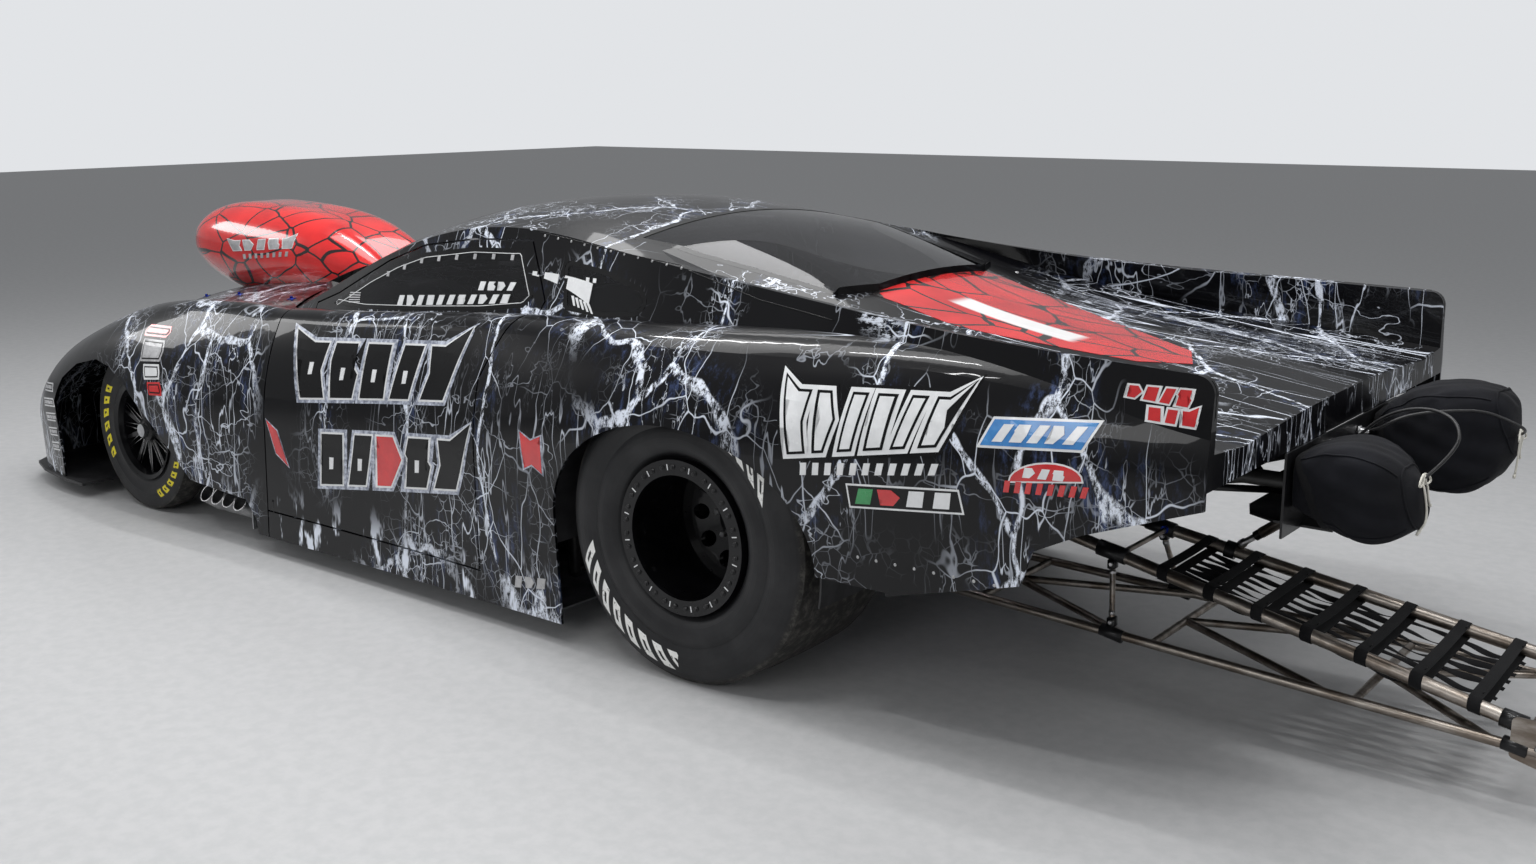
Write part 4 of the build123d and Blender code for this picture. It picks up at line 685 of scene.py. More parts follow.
def net_straps():
    """Broad straps wrapped round both upper tubes, each with four short rows of stitching."""
    parts = Parts()
    for x in strap_places:
        reach = bar_y(x)
        sag, twist = random.uniform(0.003, 0.007), random.uniform(-0.004, 0.004)
        places = []
        for k in range(17):
            v = -1 + k / 8
            dip = sag * (1 - v * v)
            places.append(at(x + twist * v, v * reach, bar_z(x) + STRAP_R - dip))
        for k in range(1, 8):
            turn = math.pi * (0.5 - k / 8)
            places.append(at(x + twist, reach + STRAP_R * math.cos(turn),
                             bar_z(x) + STRAP_R * math.sin(turn)))
        for k in range(17):
            v = 1 - k / 8
            dip = 0.4 * sag * (1 - v * v)
            places.append(at(x + twist * v, v * reach, bar_z(x) - STRAP_R + dip))
        for k in range(1, 8):
            turn = math.pi * (-0.5 - k / 8)
            places.append(at(x - twist, -reach + STRAP_R * math.cos(turn),
                             bar_z(x) + STRAP_R * math.sin(turn)))
        parts.band(places, BAR_ALONG, STRAP_W, STRAP_T, closed=True)
        for side in (-1, 1):
            for shift in (-0.011, 0.011):
                stitch = [at(x + shift, side * (reach - 0.03 - 0.01 * k),
                             bar_z(x) + STRAP_R + 0.0002 - sag * (1 - (1 - 0.01 * k) ** 2))
                          for k in range(3)]
                parts.tube(stitch, 0.0013, 5)
    return parts.make("net_straps", WEBBING)


def net_ribbons():
    """Slack ribbons along the bar, that sag and twist between the straps."""
    parts = Parts()
    first, last = strap_places[-1] - 0.02, strap_places[0] + 0.02
    for fraction in (-0.86, -0.62, -0.37, -0.12, 0.12, 0.37, 0.62, 0.86):
        places, across = [], []
        phase = random.uniform(0, 6)
        for k in range(97):
            x = first + (last - first) * k / 96
            beat = (x - strap_places[-1]) / STRAP_PITCH * math.pi
            sag = math.sin(beat) ** 2 * (0.004 + 0.005 * math.sin(phase + beat * 0.7))
            sway = 0.008 * math.sin(phase + beat * 0.55)
            places.append(at(x, fraction * bar_y(x) + sway, bar_z(x) - RIBBON_DROP - sag))
            across.append(Vector((0, 1, 0.45 * math.sin(phase * 2 + beat * 0.8)
                                  * math.sin(beat) ** 2)))
        parts.band(places, across, RIBBON_W, RIBBON_T)
    parts.make("net_ribbons", WEBBING)


# Outlines of turned fittings: distance along the axis, radius
ROD_NUT = ((0, 0.006), (0.002, 0.0105), (0.012, 0.0105), (0.014, 0.0085), (0.034, 0.0085))
ROD_BOLT = ((0, 0.005), (0.002, 0.0065), (0.030, 0.0065), (0.032, 0.005))
BLUE_NUT = ((0, 0.010), (0.002, 0.0125), (0.012, 0.0125), (0.014, 0.010))
PLATE_BOLT = ((0, 0.004), (0.001, 0.007), (0.006, 0.007), (0.007, 0.004))
STRUT_NUT = ((0, 0.009), (0.003, 0.014), (0.018, 0.014), (0.022, 0.010), (0.060, 0.010))
STRUT_HEAD = ((0, 0.0145), (0.003, 0.018), (0.020, 0.018), (0.023, 0.0145))
CABLE_GLAND = ((0, 0.011), (0.003, 0.0135), (0.010, 0.0135), (0.012, 0.009), (0.030, 0.0075),
               (0.032, 0.0045))
PIN_HEAD = ((0, 0.006), (0.006, 0.006), (0.008, 0.004))
RING_BOLT = ((0, 0.0078), (0.0012, 0.0078), (0.0014, 0.0058), (0.0060, 0.0058),
             (0.0068, 0.0048))
REAR_NUT = ((0, 0.012), (0.014, 0.012), (0.018, 0.008), (0.030, 0.008))
FRONT_NUT = ((0, 0.0085), (0.010, 0.0085), (0.013, 0.006))


def sleeve_outline(length, low, high, edge=0.002):
    """The outline of a sleeve with its ends rounded off."""
    return (0, low), (edge, high), (length - edge, high), (length, low)


def bar_fittings():
    """The bar's collars, rod ends and bolts, its blue nuts and the strut up to the mount."""
    collars, bright, blue, sleeve = Parts(), Parts(), Parts(), Parts()
    across = Vector((0, 1, 0))
    for side in (-1, 1):
        top, foot = upper_bar(-0.95, side), lower_bar(-0.99, side)
        for place, radius, half in ((top, UPPER_R, 0.045), (foot, LOWER_R, 0.035),
                                    (upper_bar(-2.02, side), UPPER_R, 0.030),
                                    (lower_bar(-2.03, side), LOWER_R, 0.030)):
            collars.turned(place - BAR_ALONG * half, BAR_ALONG,
                           sleeve_outline(2 * half, radius, radius + 0.0045), 20)
        drop = (foot - top).normalized()
        for end, way in ((top, drop), (foot, -drop)):
            eye = end + way * 0.032
            collars.block(eye, (0.014, 0.011, 0.013), (way, across, way.cross(across)))
            bright.turned(end + way * 0.048, way, ROD_NUT, 6)
            bright.turned(eye - across * 0.016, across, ROD_BOLT, 6)
        for x in (-0.97, -2.07):
            blue.turned(at(x, side * (bar_y(x) - 0.028), bar_z(x) + 0.002), (0, side, 0),
                        BLUE_NUT, 12)
        for shift in (-0.035, 0.0, 0.035):
            bright.turned(at(-2.115 + shift, side * 0.270, 0.150), (0, side, 0), PLATE_BOLT, 6)
    strut_foot = upper_bar(-1.158, -1)
    strut_top = at(-1.499, -bar_y(-1.158), 0.615)
    length = (strut_top - strut_foot).length
    way = (strut_top - strut_foot).normalized()
    bright.turned(strut_foot + way * 0.030, way, STRUT_NUT, 6)
    bright.turned(strut_top - way * 0.070, way, STRUT_HEAD, 6)
    sleeve.turned(strut_foot + way * 0.105, way,
                  sleeve_outline(length - 0.178, 0.0142, 0.0156), 24)
    sleeve.make("mount_strut_sleeve", BARE_STEEL)
    collars.make("bar_collars", SATIN_BLACK)
    bright.make("bar_rod_ends", BRIGHT_STEEL)
    blue.make("bar_blue_fittings", BLUE_ANODISED)


def tail_braces():
    """Thin tubes between the two tail tubes, and stays up to the parachute mount's plate."""
    parts = Parts()
    for side in (-1, 1):
        runs = (((-1.051, 0.379, 0.6475), (-1.400, -0.260, 0.690)),
                ((-1.140, 0.342, 0.6606), (-1.500, 0.372, 0.788)),
                ((-1.051, 0.379, 0.6475), (-1.500, 0.120, 0.640)))
        for (x1, y1, z1), (x2, y2, z2) in runs:
            parts.tube([at(x1, side * y1, z1), at(x2, side * y2, z2)], BRACE_R, 14)
    parts.tube([at(-1.420, -0.260, 0.690), at(-1.420, 0.260, 0.690)], BRACE_R, 14)
    parts.make("tail_braces", SATIN_BLACK)


tail_braces()
straps = net_straps()
net_ribbons()
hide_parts("wheelie_net")
bar_fittings()

# Parachute packs: swelled by a short cloth run from the CAD form
BAG_X = MOUNT_X - 0.0063
BAG_VOXEL = 0.006
BAG_SWELL = 0.008
FOLD_DEPTH = 0.0022
CLOTH_STEPS = 20


def swollen(piece):
    """A pack's points after a short cloth run that is held where the pack lies on the mount."""
    pins = piece.vertex_groups.new(name="pins")
    pins.add([v.index for v in piece.data.vertices if v.co.x > BAG_X - 0.012], 1.0, "REPLACE")
    cloth = piece.modifiers.new("cloth", "CLOTH")
    settings = cloth.settings
    settings.quality = 5
    settings.mass = 0.25
    settings.tension_stiffness = settings.compression_stiffness = 18
    settings.shear_stiffness = 8
    settings.bending_stiffness = 1.2
    settings.vertex_group_mass = "pins"
    settings.use_pressure = True
    settings.uniform_pressure_force = 4.0
    settings.effector_weights.gravity = 0.0
    cloth.collision_settings.use_collision = False
    for step in range(1, CLOTH_STEPS + 1):
        bpy.context.scene.frame_set(step)
    solved = piece.evaluated_get(bpy.context.evaluated_depsgraph_get())
    moved = [v.co.copy() for v in solved.to_mesh().vertices]
    solved.to_mesh_clear()
    piece.modifiers.remove(cloth)
    bpy.context.scene.frame_set(1)
    return moved


def changed(piece, kind, **settings):
    """Applies a modifier of that kind to a piece."""
    modifier = piece.modifiers.new(kind.lower(), kind)
    for key, value in settings.items():
        setattr(modifier, key, value)
    bpy.ops.object.modifier_apply(modifier=modifier.name)


def bag(name, node):
    """A padded pack made from its CAD form; gives the search tree of its cloth."""
    mesh = nodes[node].data.copy()
    mesh.name = name
    piece = linked(name, mesh)
    centre = Vector((0, 0, 0))
    for vert in mesh.vertices:
        centre += vert.co / len(mesh.vertices)
    bpy.context.view_layer.objects.active = piece
    piece.select_set(True)
    changed(piece, "REMESH", mode="VOXEL", voxel_size=BAG_VOXEL)
    shell = piece.data
    for vert in shell.vertices:
        depth = BAG_X - vert.co.x
        pull = 0.965 + 0.02 * math.exp(-depth / 0.02)
        vert.co = centre + (vert.co - centre) * pull
        vert.co.x = min(vert.co.x, BAG_X)
        folds = math.sin(vert.co.z * 95 + vert.co.y * 38 + depth * 30)
        folds += 0.6 * math.sin(vert.co.y * 120 - vert.co.z * 40 + depth * 55)
        side = Vector((0, vert.co.y - centre.y, vert.co.z - centre.z))
        if side.length > 0.001 and depth > 0.02:
            vert.co += side.normalized() * FOLD_DEPTH * folds
    for vert, new in zip(shell.vertices, swollen(piece)):
        shift = new - vert.co
        if shift.length > BAG_SWELL:
            shift = shift.normalized() * BAG_SWELL
        vert.co += shift
        vert.co.x = min(vert.co.x, BAG_X)
    changed(piece, "SMOOTH", factor=0.5, iterations=3)
    changed(piece, "SUBSURF", levels=1)
    piece.select_set(False)
    for face in piece.data.polygons:
        face.use_smooth = True
    piece.data.materials.clear()
    piece.data.materials.append(BAG_CLOTH)
    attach(piece, "chassis")
    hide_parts(node)
    return face_tree(piece.data)


left_tree = bag("bag_left", "parachute_bag_left")
right_tree = bag("bag_right", "parachute_bag_right")


def wrapped(tree, centre, normal, offset, count=48, out=0.35):
    """A loop round a pack where a plane cuts it, held a little off its cloth."""
    normal = Vector(normal).normalized()
    side = normal.orthogonal().normalized()
    other = normal.cross(side)
    loop = []
    for way in around(Vector((0, 0, 0)), side, other, 1.0, count):
        hit = tree.ray_cast(Vector(centre) + way * out, -way)[0]
        if hit:
            loop.append(hit + way * offset)
    return loop


TIE_R = 0.0027


def bow(parts, tree, place, normal, drop):
    """A small tied cord: a knot, two loops and two tails that hang down the cloth."""
    side = normal.cross(Vector((0, 0, 1))).normalized()
    knot = []
    for k in range(13):
        turn = 2 * math.pi * k / 12
        knot.append(place + side * 0.0065 * math.cos(turn)
                    + (normal * 0.6 + Vector((0, 0, 1))) * 0.0055 * math.sin(turn))
    parts.tube(knot[:-1], 0.0030, 8, closed=True)
    for hand in (-1, 1):
        loop = []
        for k in range(14):
            turn = math.pi * k / 13
            reach = 0.030 * math.sin(turn)
            loop.append(place + side * hand * (0.004 + reach) + normal * 0.006 * math.sin(turn)
                        + Vector((0, 0, 0.012 * math.cos(turn) - 0.012 * math.sin(turn))))
        parts.tube(loop, TIE_R, 7)
        tail = []
        for k in range(18):
            s = k / 17
            point = (place + side * hand * (0.003 + 0.014 * s + 0.005 * math.sin(6 * s))
                     + normal * 0.004 * (1 - s)
                     + Vector((0, 0, -drop * (0.8 + 0.2 * hand) * s)))
            hit, face, _, _ = tree.find_nearest(point)
            if (point - hit).dot(face) < 0.0035:
                point = hit + face * 0.0035
            tail.append(point)
        parts.tube(tail, TIE_R, 7)
        end = tail[-1] - tail[-2]
        parts.tube([tail[-1], tail[-1] + end * 0.8, tail[-1] + end * 1.7],
                   [TIE_R, 0.0046, 0.0030], 7)


# Sections of each pack: depth and height of the top, of the bottom; width; corner radius
BAG_SECTIONS = {
    "left": [(0.020, 0.798, 0.080, 0.628, 0.228, 0.036),
             (0.080, 0.824, 0.150, 0.604, 0.252, 0.048),
             (0.175, 0.822, 0.225, 0.602, 0.246, 0.060),
             (0.240, 0.785, 0.275, 0.626, 0.176, 0.062)],
    "right": [(0.020, 0.803, 0.080, 0.626, 0.230, 0.036),
              (0.090, 0.858, 0.150, 0.600, 0.256, 0.048),
              (0.195, 0.885, 0.240, 0.598, 0.264, 0.060),
              (0.300, 0.882, 0.315, 0.640, 0.215, 0.066)],
}


def bag_details():
    """Seams along the packs' edges, a broad tape round each, and a tied cord at its far end."""
    seams, tapes, ties = Parts(), Parts(), Parts()
    ends = {"left": Vector((MOUNT_X - 0.2803, 0.3006, 0.7536)),
            "right": Vector((MOUNT_X - 0.3632, -0.2753, 0.7707))}
    for side, tree, y in (("left", left_tree, 0.300), ("right", right_tree, -0.300)):
        lean = Vector((1.0, 0, -0.45))
        loop = wrapped(tree, (BAG_X - 0.050, y, 0.715), lean, 0.0014)
        tapes.band(loop, lean, 0.024, 0.0022, closed=True)
        for hand in (-1, 1):
            for high in (0, 1):
                line = []
                for top_x, top_z, low_x, low_z, width, corner in BAG_SECTIONS[side]:
                    depth, z = (top_x, top_z) if high else (low_x, low_z)
                    step = corner * 0.35
                    corner_at = Vector((BAG_X - depth, y + hand * (width / 2 - step),
                                        z + (-step if high else step)))
                    line.append(tree.find_nearest(corner_at)[0])
                fine = []
                for a, b in zip(line, line[1:]):
                    for k in range(10):
                        hit, normal, _, _ = tree.find_nearest(a.lerp(b, k / 10))
                        fine.append(hit + normal * 0.0008)
                seams.tube(fine, 0.0024, 6)
        hit, normal, _, _ = tree.find_nearest(ends[side])
        collar = wrapped(tree, ends[side] + Vector((0.028, 0, 0)), (1.0, 0, -0.3), 0.0012)
        seams.tube(collar, 0.0030, 7, closed=True)
        bow(ties, tree, hit + normal * 0.008, normal, 0.105)
    seams.make("bag_seams", BAG_CLOTH)
    tapes.make("bag_tapes", WEBBING)
    ties.make("bag_ties", TIE_CORD)


bag_details()

# Release cables: the same routes as in the CAD, behind the mount, and their lengths
CABLE_D = 0.008
CABLES = {
    "left": ([(-0.0063, 0.095, 0.765), (-0.045, 0.095, 0.765), (-0.110, 0.105, 0.842),
              (-0.190, 0.140, 0.886), (-0.270, 0.185, 0.900), (-0.332, 0.235, 0.884),
              (-0.348, 0.278, 0.830), (-0.28031, 0.300564, 0.753628)], 0.571),
    "right": ([(-0.0063, -0.095, 0.765), (-0.045, -0.095, 0.765), (-0.108, -0.100, 0.812),
               (-0.175, -0.120, 0.831), (-0.240, -0.145, 0.838), (-0.290, -0.166, 0.840),
               (-0.345, -0.185, 0.822), (-0.392, -0.232, 0.788),
               (-0.36316, -0.275267, 0.770693)], 0.490),
}


def release_cable(side):
    """A stiff cable from the mount's plate to the far end of a pack."""
    route, length = CABLES[side]
    curve = bpy.data.curves.new("release_cable_" + side, "CURVE")
    curve.dimensions = "3D"
    line = curve.splines.new("NURBS")
    line.points.add(len(route) - 1)
    places = [Vector((MOUNT_X + x, y, z)) for x, y, z in route]
    for point, place in zip(line.points, places):
        point.co = (*place, 1.0)
    line.order_u = 3
    line.use_endpoint_u = True
    line.resolution_u = 12
    curve.bevel_depth = CABLE_D / 2
    curve.bevel_resolution = 3
    curve.use_fill_caps = True
    curve.materials.append(SLEEVE)
    piece = linked("cable_" + side, curve)
    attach(piece, "chassis")
    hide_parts("release_cable_" + side)


for side in ("left", "right"):
    release_cable(side)


def cable_ends():
    parts = Parts()
    for y in (-0.095, 0.095):
        parts.turned(Vector((BAG_X + 0.002, y, 0.765)), (-1, 0, 0), CABLE_GLAND, 6)
    parts.make("cable_glands", BRIGHT_STEEL)


cable_ends()

# Films on the paint: plain angular shapes with no letters or signs
BODY_TREE = surface("body_shell")
CLIP_TREE = surface("front_clip")
SCOOP_TREE = surface("hood_scoop")
TAGS = {1: "left", -1: "right"}
FORMS = {
    "A": [(0.14, 0.0), (1.0, 0.0), (0.80, 0.42), (0.92, 1.0), (0.0, 1.0), (0.20, 0.55)],
    "B": [(0.0, 0.0), (0.66, 0.0), (1.0, 0.46), (0.60, 1.0), (0.0, 1.0), (0.30, 0.5)],
    "C": [(0.12, 0.0), (0.95, 0.0), (0.70, 0.30), (1.0, 0.55), (0.85, 1.0), (0.0, 1.0),
          (0.25, 0.62), (0.0, 0.34)],
    "D": [(0.30, 0.0), (1.0, 0.0), (0.72, 1.0), (0.0, 1.0)],
    "E": [(0.10, 0.0), (0.55, 0.0), (1.25, -0.34), (0.82, 0.30), (1.0, 0.62), (0.86, 1.0),
          (0.0, 1.0), (0.22, 0.5)],
    "S": [(-0.28, -0.22), (0.45, 0.0), (1.0, 0.0), (0.78, 0.5), (0.92, 1.0), (0.0, 1.0),
          (0.18, 0.45)],
}


def row(forms, gap):
    """Forms set side by side across a unit square, by their keys; a dot leaves a place bare."""
    width = 1.0 / len(forms)
    return [[((i + gap / 2 + u * (1 - gap)) * width, v) for u, v in FORMS[key]]
            for i, key in enumerate(forms) if key != "."]


def shrunk(outline, amount):
    """The outline moved inwards by an even margin."""
    count = len(outline)
    area = sum(outline[i][0] * outline[(i + 1) % count][1]
               - outline[(i + 1) % count][0] * outline[i][1] for i in range(count))
    turn = 1 if area > 0 else -1
    result = []
    for i in range(count):
        a, b, c = (Vector(outline[i - 1]), Vector(outline[i]), Vector(outline[(i + 1) % count]))
        first, second = (b - a).normalized(), (c - b).normalized()
        normal_a = Vector((-first.y, first.x)) * turn
        normal_b = Vector((-second.y, second.x)) * turn
        total = normal_a + normal_b
        scale = amount / max(total.dot(normal_a), 0.35)
        result.append(tuple(b + total * scale))
    return result


def layered(name, outlines, body, tree, layers, side):
    """One film on another: each layer is a material and how far it is drawn in."""
    for i, (material, margin) in enumerate(layers):
        shapes = [shrunk(o, margin) for o in outlines] if margin else outlines
        decal("%s_%d" % (name, i), shapes, material, body, tree, side, 0.0008 + 0.0007 * i)


def place_films(table, side, body, tree):
    """The films of a table. Each row: name, outline, keys of the forms laid between its corners
    or none, their gap, and the layers, or one material and its lift."""
    for name, outline, forms, gap, layers in table:
        shapes = patch(outline, row(forms, gap)) if forms else [outline]
        if isinstance(layers, list):
            layered(name % TAGS[side], shapes, body, tree, layers, side)
        else:
            material, lift = layers
            decal(name % TAGS[side], shapes, material, body, tree, side, lift)


MARK_LIFT = 0.0024
DOOR_TOP = ((1.83, 0.800), (0.97, 0.868), (0.99, 0.690), (1.80, 0.600))
DOOR_LOW = ((1.70, 0.500), (0.90, 0.585), (0.92, 0.415), (1.69, 0.310))
DOOR_FLASH = ((1.985, 0.505), (1.925, 0.472), (1.915, 0.440), (1.865, 0.352), (1.935, 0.392),
              (1.945, 0.425))
HOLLOW = [(GLOW, -0.011), (WHITE, 0.0), (BLACK, 0.0065)]
TAIL_FLASH = ((0.615, 0.655), (0.565, 0.635), (0.518, 0.655), (0.545, 0.600), (0.520, 0.540),
              (0.565, 0.562), (0.600, 0.545), (0.580, 0.600))
BAR_MARKS = ((-0.605, 0.680), (-0.895, 0.711), (-0.908, 0.672), (-0.612, 0.641))
OVAL = [(-1.13 + 0.088 * math.cos(math.pi * k / 12),
         0.775 + 0.040 * math.sin(math.pi * k / 12) - 0.012 * math.cos(math.pi * k / 12))
        for k in range(13)]
BODY_FILMS = [
    ("film_tail_flash_%s", TAIL_FLASH, "", 0, [(GLOW, -0.005), (DECAL_RED, 0.0)]),
    ("sign_big_%s", ((-0.385, 0.905), (-0.900, 0.940), (-0.860, 0.815), (-0.405, 0.735)),
     "SBDADE", 0.10, [(BLACK, -0.016), (WHITE, -0.008), (BLACK, 0.003), (WHITE, 0.010)]),
    ("sign_line_%s", ((-0.440, 0.722), (-0.860, 0.778), (-0.858, 0.750), (-0.445, 0.690)),
     "D" * 11, 0.30, (WHITE, FILM_LIFT)),
    ("sign_bar_%s", ((-0.590, 0.690), (-0.910, 0.722), (-0.925, 0.662), (-0.600, 0.628)),
     "", 0, [(WHITE, 0.0), (BLACK, 0.005)]),
    ("sign_bar_a_%s", BAR_MARKS, "D...", 0.16, (DECAL_GREEN, MARK_LIFT)),
    ("sign_bar_b_%s", BAR_MARKS, ".B..", 0.16, (DECAL_RED, MARK_LIFT)),
    ("sign_bar_c_%s", BAR_MARKS, "..DD", 0.16, (WHITE, MARK_LIFT)),
    ("sign_blue_%s", ((-0.985, 0.905), (-1.255, 0.928), (-1.215, 0.852), (-0.950, 0.830)),
     "", 0, [(WHITE, 0.0), (DECAL_BLUE, 0.006)]),
    ("sign_blue_marks_%s", ((-1.000, 0.890), (-1.225, 0.910), (-1.205, 0.868), (-0.985, 0.848)),
     "DCDBD", 0.18, (WHITE, MARK_LIFT)),
    ("sign_oval_%s", OVAL, "", 0, [(WHITE, -0.004), (DECAL_RED, 0.0)]),
    ("sign_oval_marks_%s", ((-1.075, 0.800), (-1.180, 0.806), (-1.182, 0.782), (-1.070, 0.776)),
     "BDC", 0.2, (WHITE, MARK_LIFT)),
    ("sign_oval_line_%s", ((-1.020, 0.762), (-1.240, 0.776), (-1.238, 0.750), (-1.022, 0.734)),
     "D" * 8, 0.28, (DECAL_RED, FILM_LIFT)),
    ("sign_red_a_%s", ((-1.300, 1.012), (-1.455, 1.018), (-1.450, 0.978), (-1.295, 0.985)),
     "BADC", 0.10, [(WHITE, -0.003), (DECAL_RED, 0.001)]),
    ("sign_red_b_%s", ((-1.345, 0.970), (-1.465, 0.972), (-1.470, 0.938), (-1.350, 0.940)),
     "ADE", 0.12, [(WHITE, -0.004), (DECAL_RED, 0.001)]),
    ("sign_sill_%s", ((0.695, 0.186), (0.535, 0.206), (0.540, 0.172), (0.690, 0.148)),
     "DBA", 0.2, (GREY_FILM, FILM_LIFT)),
]
SCOOP_FILMS = [
    ("sign_scoop_%s", ((3.14, 1.030), (2.70, 1.066), (2.69, 1.022), (3.12, 0.985)),
     "SBDCE", 0.12, [(WHITE, 0.0), (GREY_FILM, 0.004)]),
    ("sign_scoop_line_%s", ((3.06, 0.976), (2.72, 1.008), (2.72, 0.988), (3.05, 0.956)),
     "D" * 8, 0.4, (GREY_FILM, FILM_LIFT)),
]
GLASS_UPPER = ((1.075, 1.046), (0.885, 1.056), (0.888, 1.030), (1.070, 1.018))
GLASS_LOWER = ((1.480, 0.970), (0.900, 1.018), (0.905, 0.990), (1.475, 0.936))
GLASS_STRIPES = ((1.775, 0.958), (1.700, 0.963), (1.695, 0.925), (1.765, 0.918))
FENDER_STACK = [((2.800, 0.772), (2.640, 0.776), (2.645, 0.735), (2.795, 0.730), DECAL_RED),
                ((2.795, 0.722), (2.640, 0.726), (2.635, 0.650), (2.760, 0.640), GREY_FILM),
                ((2.745, 0.632), (2.635, 0.640), (2.620, 0.585), (2.715, 0.575), WHITE),
                ((2.705, 0.568), (2.615, 0.576), (2.600, 0.525), (2.680, 0.520), DECAL_RED)]


def door_films(side):
    """Two rows of hollow forms on a door, with a small slit in most, and a flash at its front."""
    door = "door_" + TAGS[side]
    tree = surface(door)
    place_films([("film_top_%s", DOOR_TOP, "SCADE", 0.04, HOLLOW),
                 ("film_low_%s", DOOR_LOW, "AD.CE", 0.05, HOLLOW),
                 ("film_mid_%s", DOOR_LOW, "..B..", 0.05, HOLLOW[:2] + [(DECAL_RED, 0.0065)])],
                side, door, tree)
    slits = []
    for shape in patch(DOOR_TOP, row("SCAD.", 0.04)) + patch(DOOR_LOW, row("AD.C.", 0.05)):
        x = sum(p[0] for p in shape) / len(shape)
        z = sum(p[1] for p in shape) / len(shape)
        slits.append([(x + 0.013, z + 0.004), (x - 0.010, z + 0.006), (x - 0.006, z - 0.035),
                      (x + 0.015, z - 0.038)])
    decal("film_slits_" + TAGS[side], slits, WHITE, door, tree, side, 0.0030)
    place_films([("film_flash_%s", DOOR_FLASH, "", 0, [(GLOW, -0.005), (DECAL_RED, 0.0)])],
                side, door, tree)


def glass_films(side):
    door, tree = "door_" + TAGS[side], surface("door_window_" + TAGS[side])
    marks = patch(GLASS_UPPER, row("DCBD", 0.22)) + patch(GLASS_LOWER, row("DBDADDCDBDA", 0.26))
    decal("glass_marks_" + TAGS[side], marks, WHITE, door, tree, side)
    stripes = [[(0, v), (1, v), (1, v + 0.09), (0, v + 0.09)]
               for v in (0.05, 0.25, 0.45, 0.65, 0.85)]
    decal("glass_stripes_" + TAGS[side], patch(GLASS_STRIPES, stripes), GREY_FILM, door, tree, side)


def side_films(side):
    place_films(BODY_FILMS, side, "chassis", BODY_TREE)
    for i, (a, b, c, d, material) in enumerate(FENDER_STACK):
        cut = [(a[0] - 0.01, a[1]), b, (b[0] - 0.012, (b[1] + c[1]) / 2), c, d,
               (d[0] + 0.012, (a[1] + d[1]) / 2)]
        layered("sign_fender_%s_%d" % (TAGS[side], i), [cut], "chassis", CLIP_TREE,
                [(material, 0.0), (BLACK, 0.008), (material, 0.013)], side)
    for i in range(5):
        z = 0.185 + 0.062 * i
        bar = [(3.44 + 0.01 * i, z), (3.56 + 0.012 * i, z - 0.012), (3.57 + 0.012 * i, z + 0.022),
               (3.45 + 0.01 * i, z + 0.036)]
        layered("sign_nose_%s_%d" % (TAGS[side], i), [bar], "chassis", CLIP_TREE,
                [(WHITE, 0.0), (BLACK, 0.006), (GREY_FILM, 0.011)], side)
    place_films(SCOOP_FILMS, side, "chassis", SCOOP_TREE)


for place in (door_films, glass_films, side_films):
    for side in (1, -1):
        place(side)


def sweep_shape(x_start, x_end, steps=10):
    """A part of the white sweep behind the door window, between two places along the car."""
    upper, lower = [], []
    for k in range(steps + 1):
        x = x_start + (x_end - x_start) * k / steps
        s = (0.825 - x) / 0.300
        middle = 1.090 - 0.004 * s - 0.038 * s * s
        wide = 0.007 + 0.030 * s ** 1.3
        upper.append((x, middle + wide * 0.75))
        lower.append((x, middle - wide))
    return upper + lower[::-1]


def quarter_swirl(side):
    """The sweep over the door, the post and the quarter window, with small marks on the glass."""
    tag = TAGS[side]
    pane = surface("quarter_windows")
    for name, start, end, body, tree in (
            ("sweep_door_", 0.822, 0.770, "door_" + tag, surface("door_" + tag)),
            ("sweep_post_", 0.765, 0.700, "chassis", BODY_TREE),
            ("sweep_glass_", 0.685, 0.540, "chassis", pane)):
        decal(name + tag, [sweep_shape(start, end)], WHITE, body, tree, side)
    rays, checks = [], []
    for k in range(5):
        x, z, reach = 0.625 - 0.019 * k, 1.026 - 0.004 * k, 0.003 * k
        rays.append([(x, z + 0.01), (x - 0.011, z + 0.01), (x - 0.026 - reach, z - 0.018),
                     (x - 0.018 - reach, z - 0.018)])
    for k in (0, 2, 4):
        x, z = 0.575 - 0.016 * (k % 3), 1.094 - 0.015 * (k // 3)
        checks.append([(x, z), (x - 0.014, z), (x - 0.016, z - 0.013), (x - 0.002, z - 0.013)])
    decal("sweep_rays_" + tag, rays, WHITE, "chassis", pane, side, 0.0018)
    decal("sweep_checks_" + tag, checks, WHITE, "chassis", pane, side, 0.0018)


quarter_swirl(1)
quarter_swirl(-1)
DECK_PANEL = [(-0.335, -0.310), (-0.22, -0.30), (-0.25, 0.34), (-0.34, 0.33), (-0.53, 0.35),
              (-0.80, 0.30), (-1.04, 0.26), (-1.15, 0.16), (-1.09, 0.03), (-0.815, -0.105),
              (-0.55, -0.24)]
decal("deck_panel", [DECK_PANEL], RED_PANEL, "chassis", BODY_TREE, 1, 0.0010, "z", 0.030)


# Glass frames, seams and fasteners
def outward(place):
    return Vector((0.0, 1.0 if place.y > 0 else -1.0, 0.25)).normalized()


def toward_front(place):
    side = 1 if place.y > 0 else -1
    return Vector((0.75, 0.25 * side * min(abs(place.y) * 3, 1), 0.6))


def toward_rear(place):
    return Vector((-0.4, 0, 0.9))


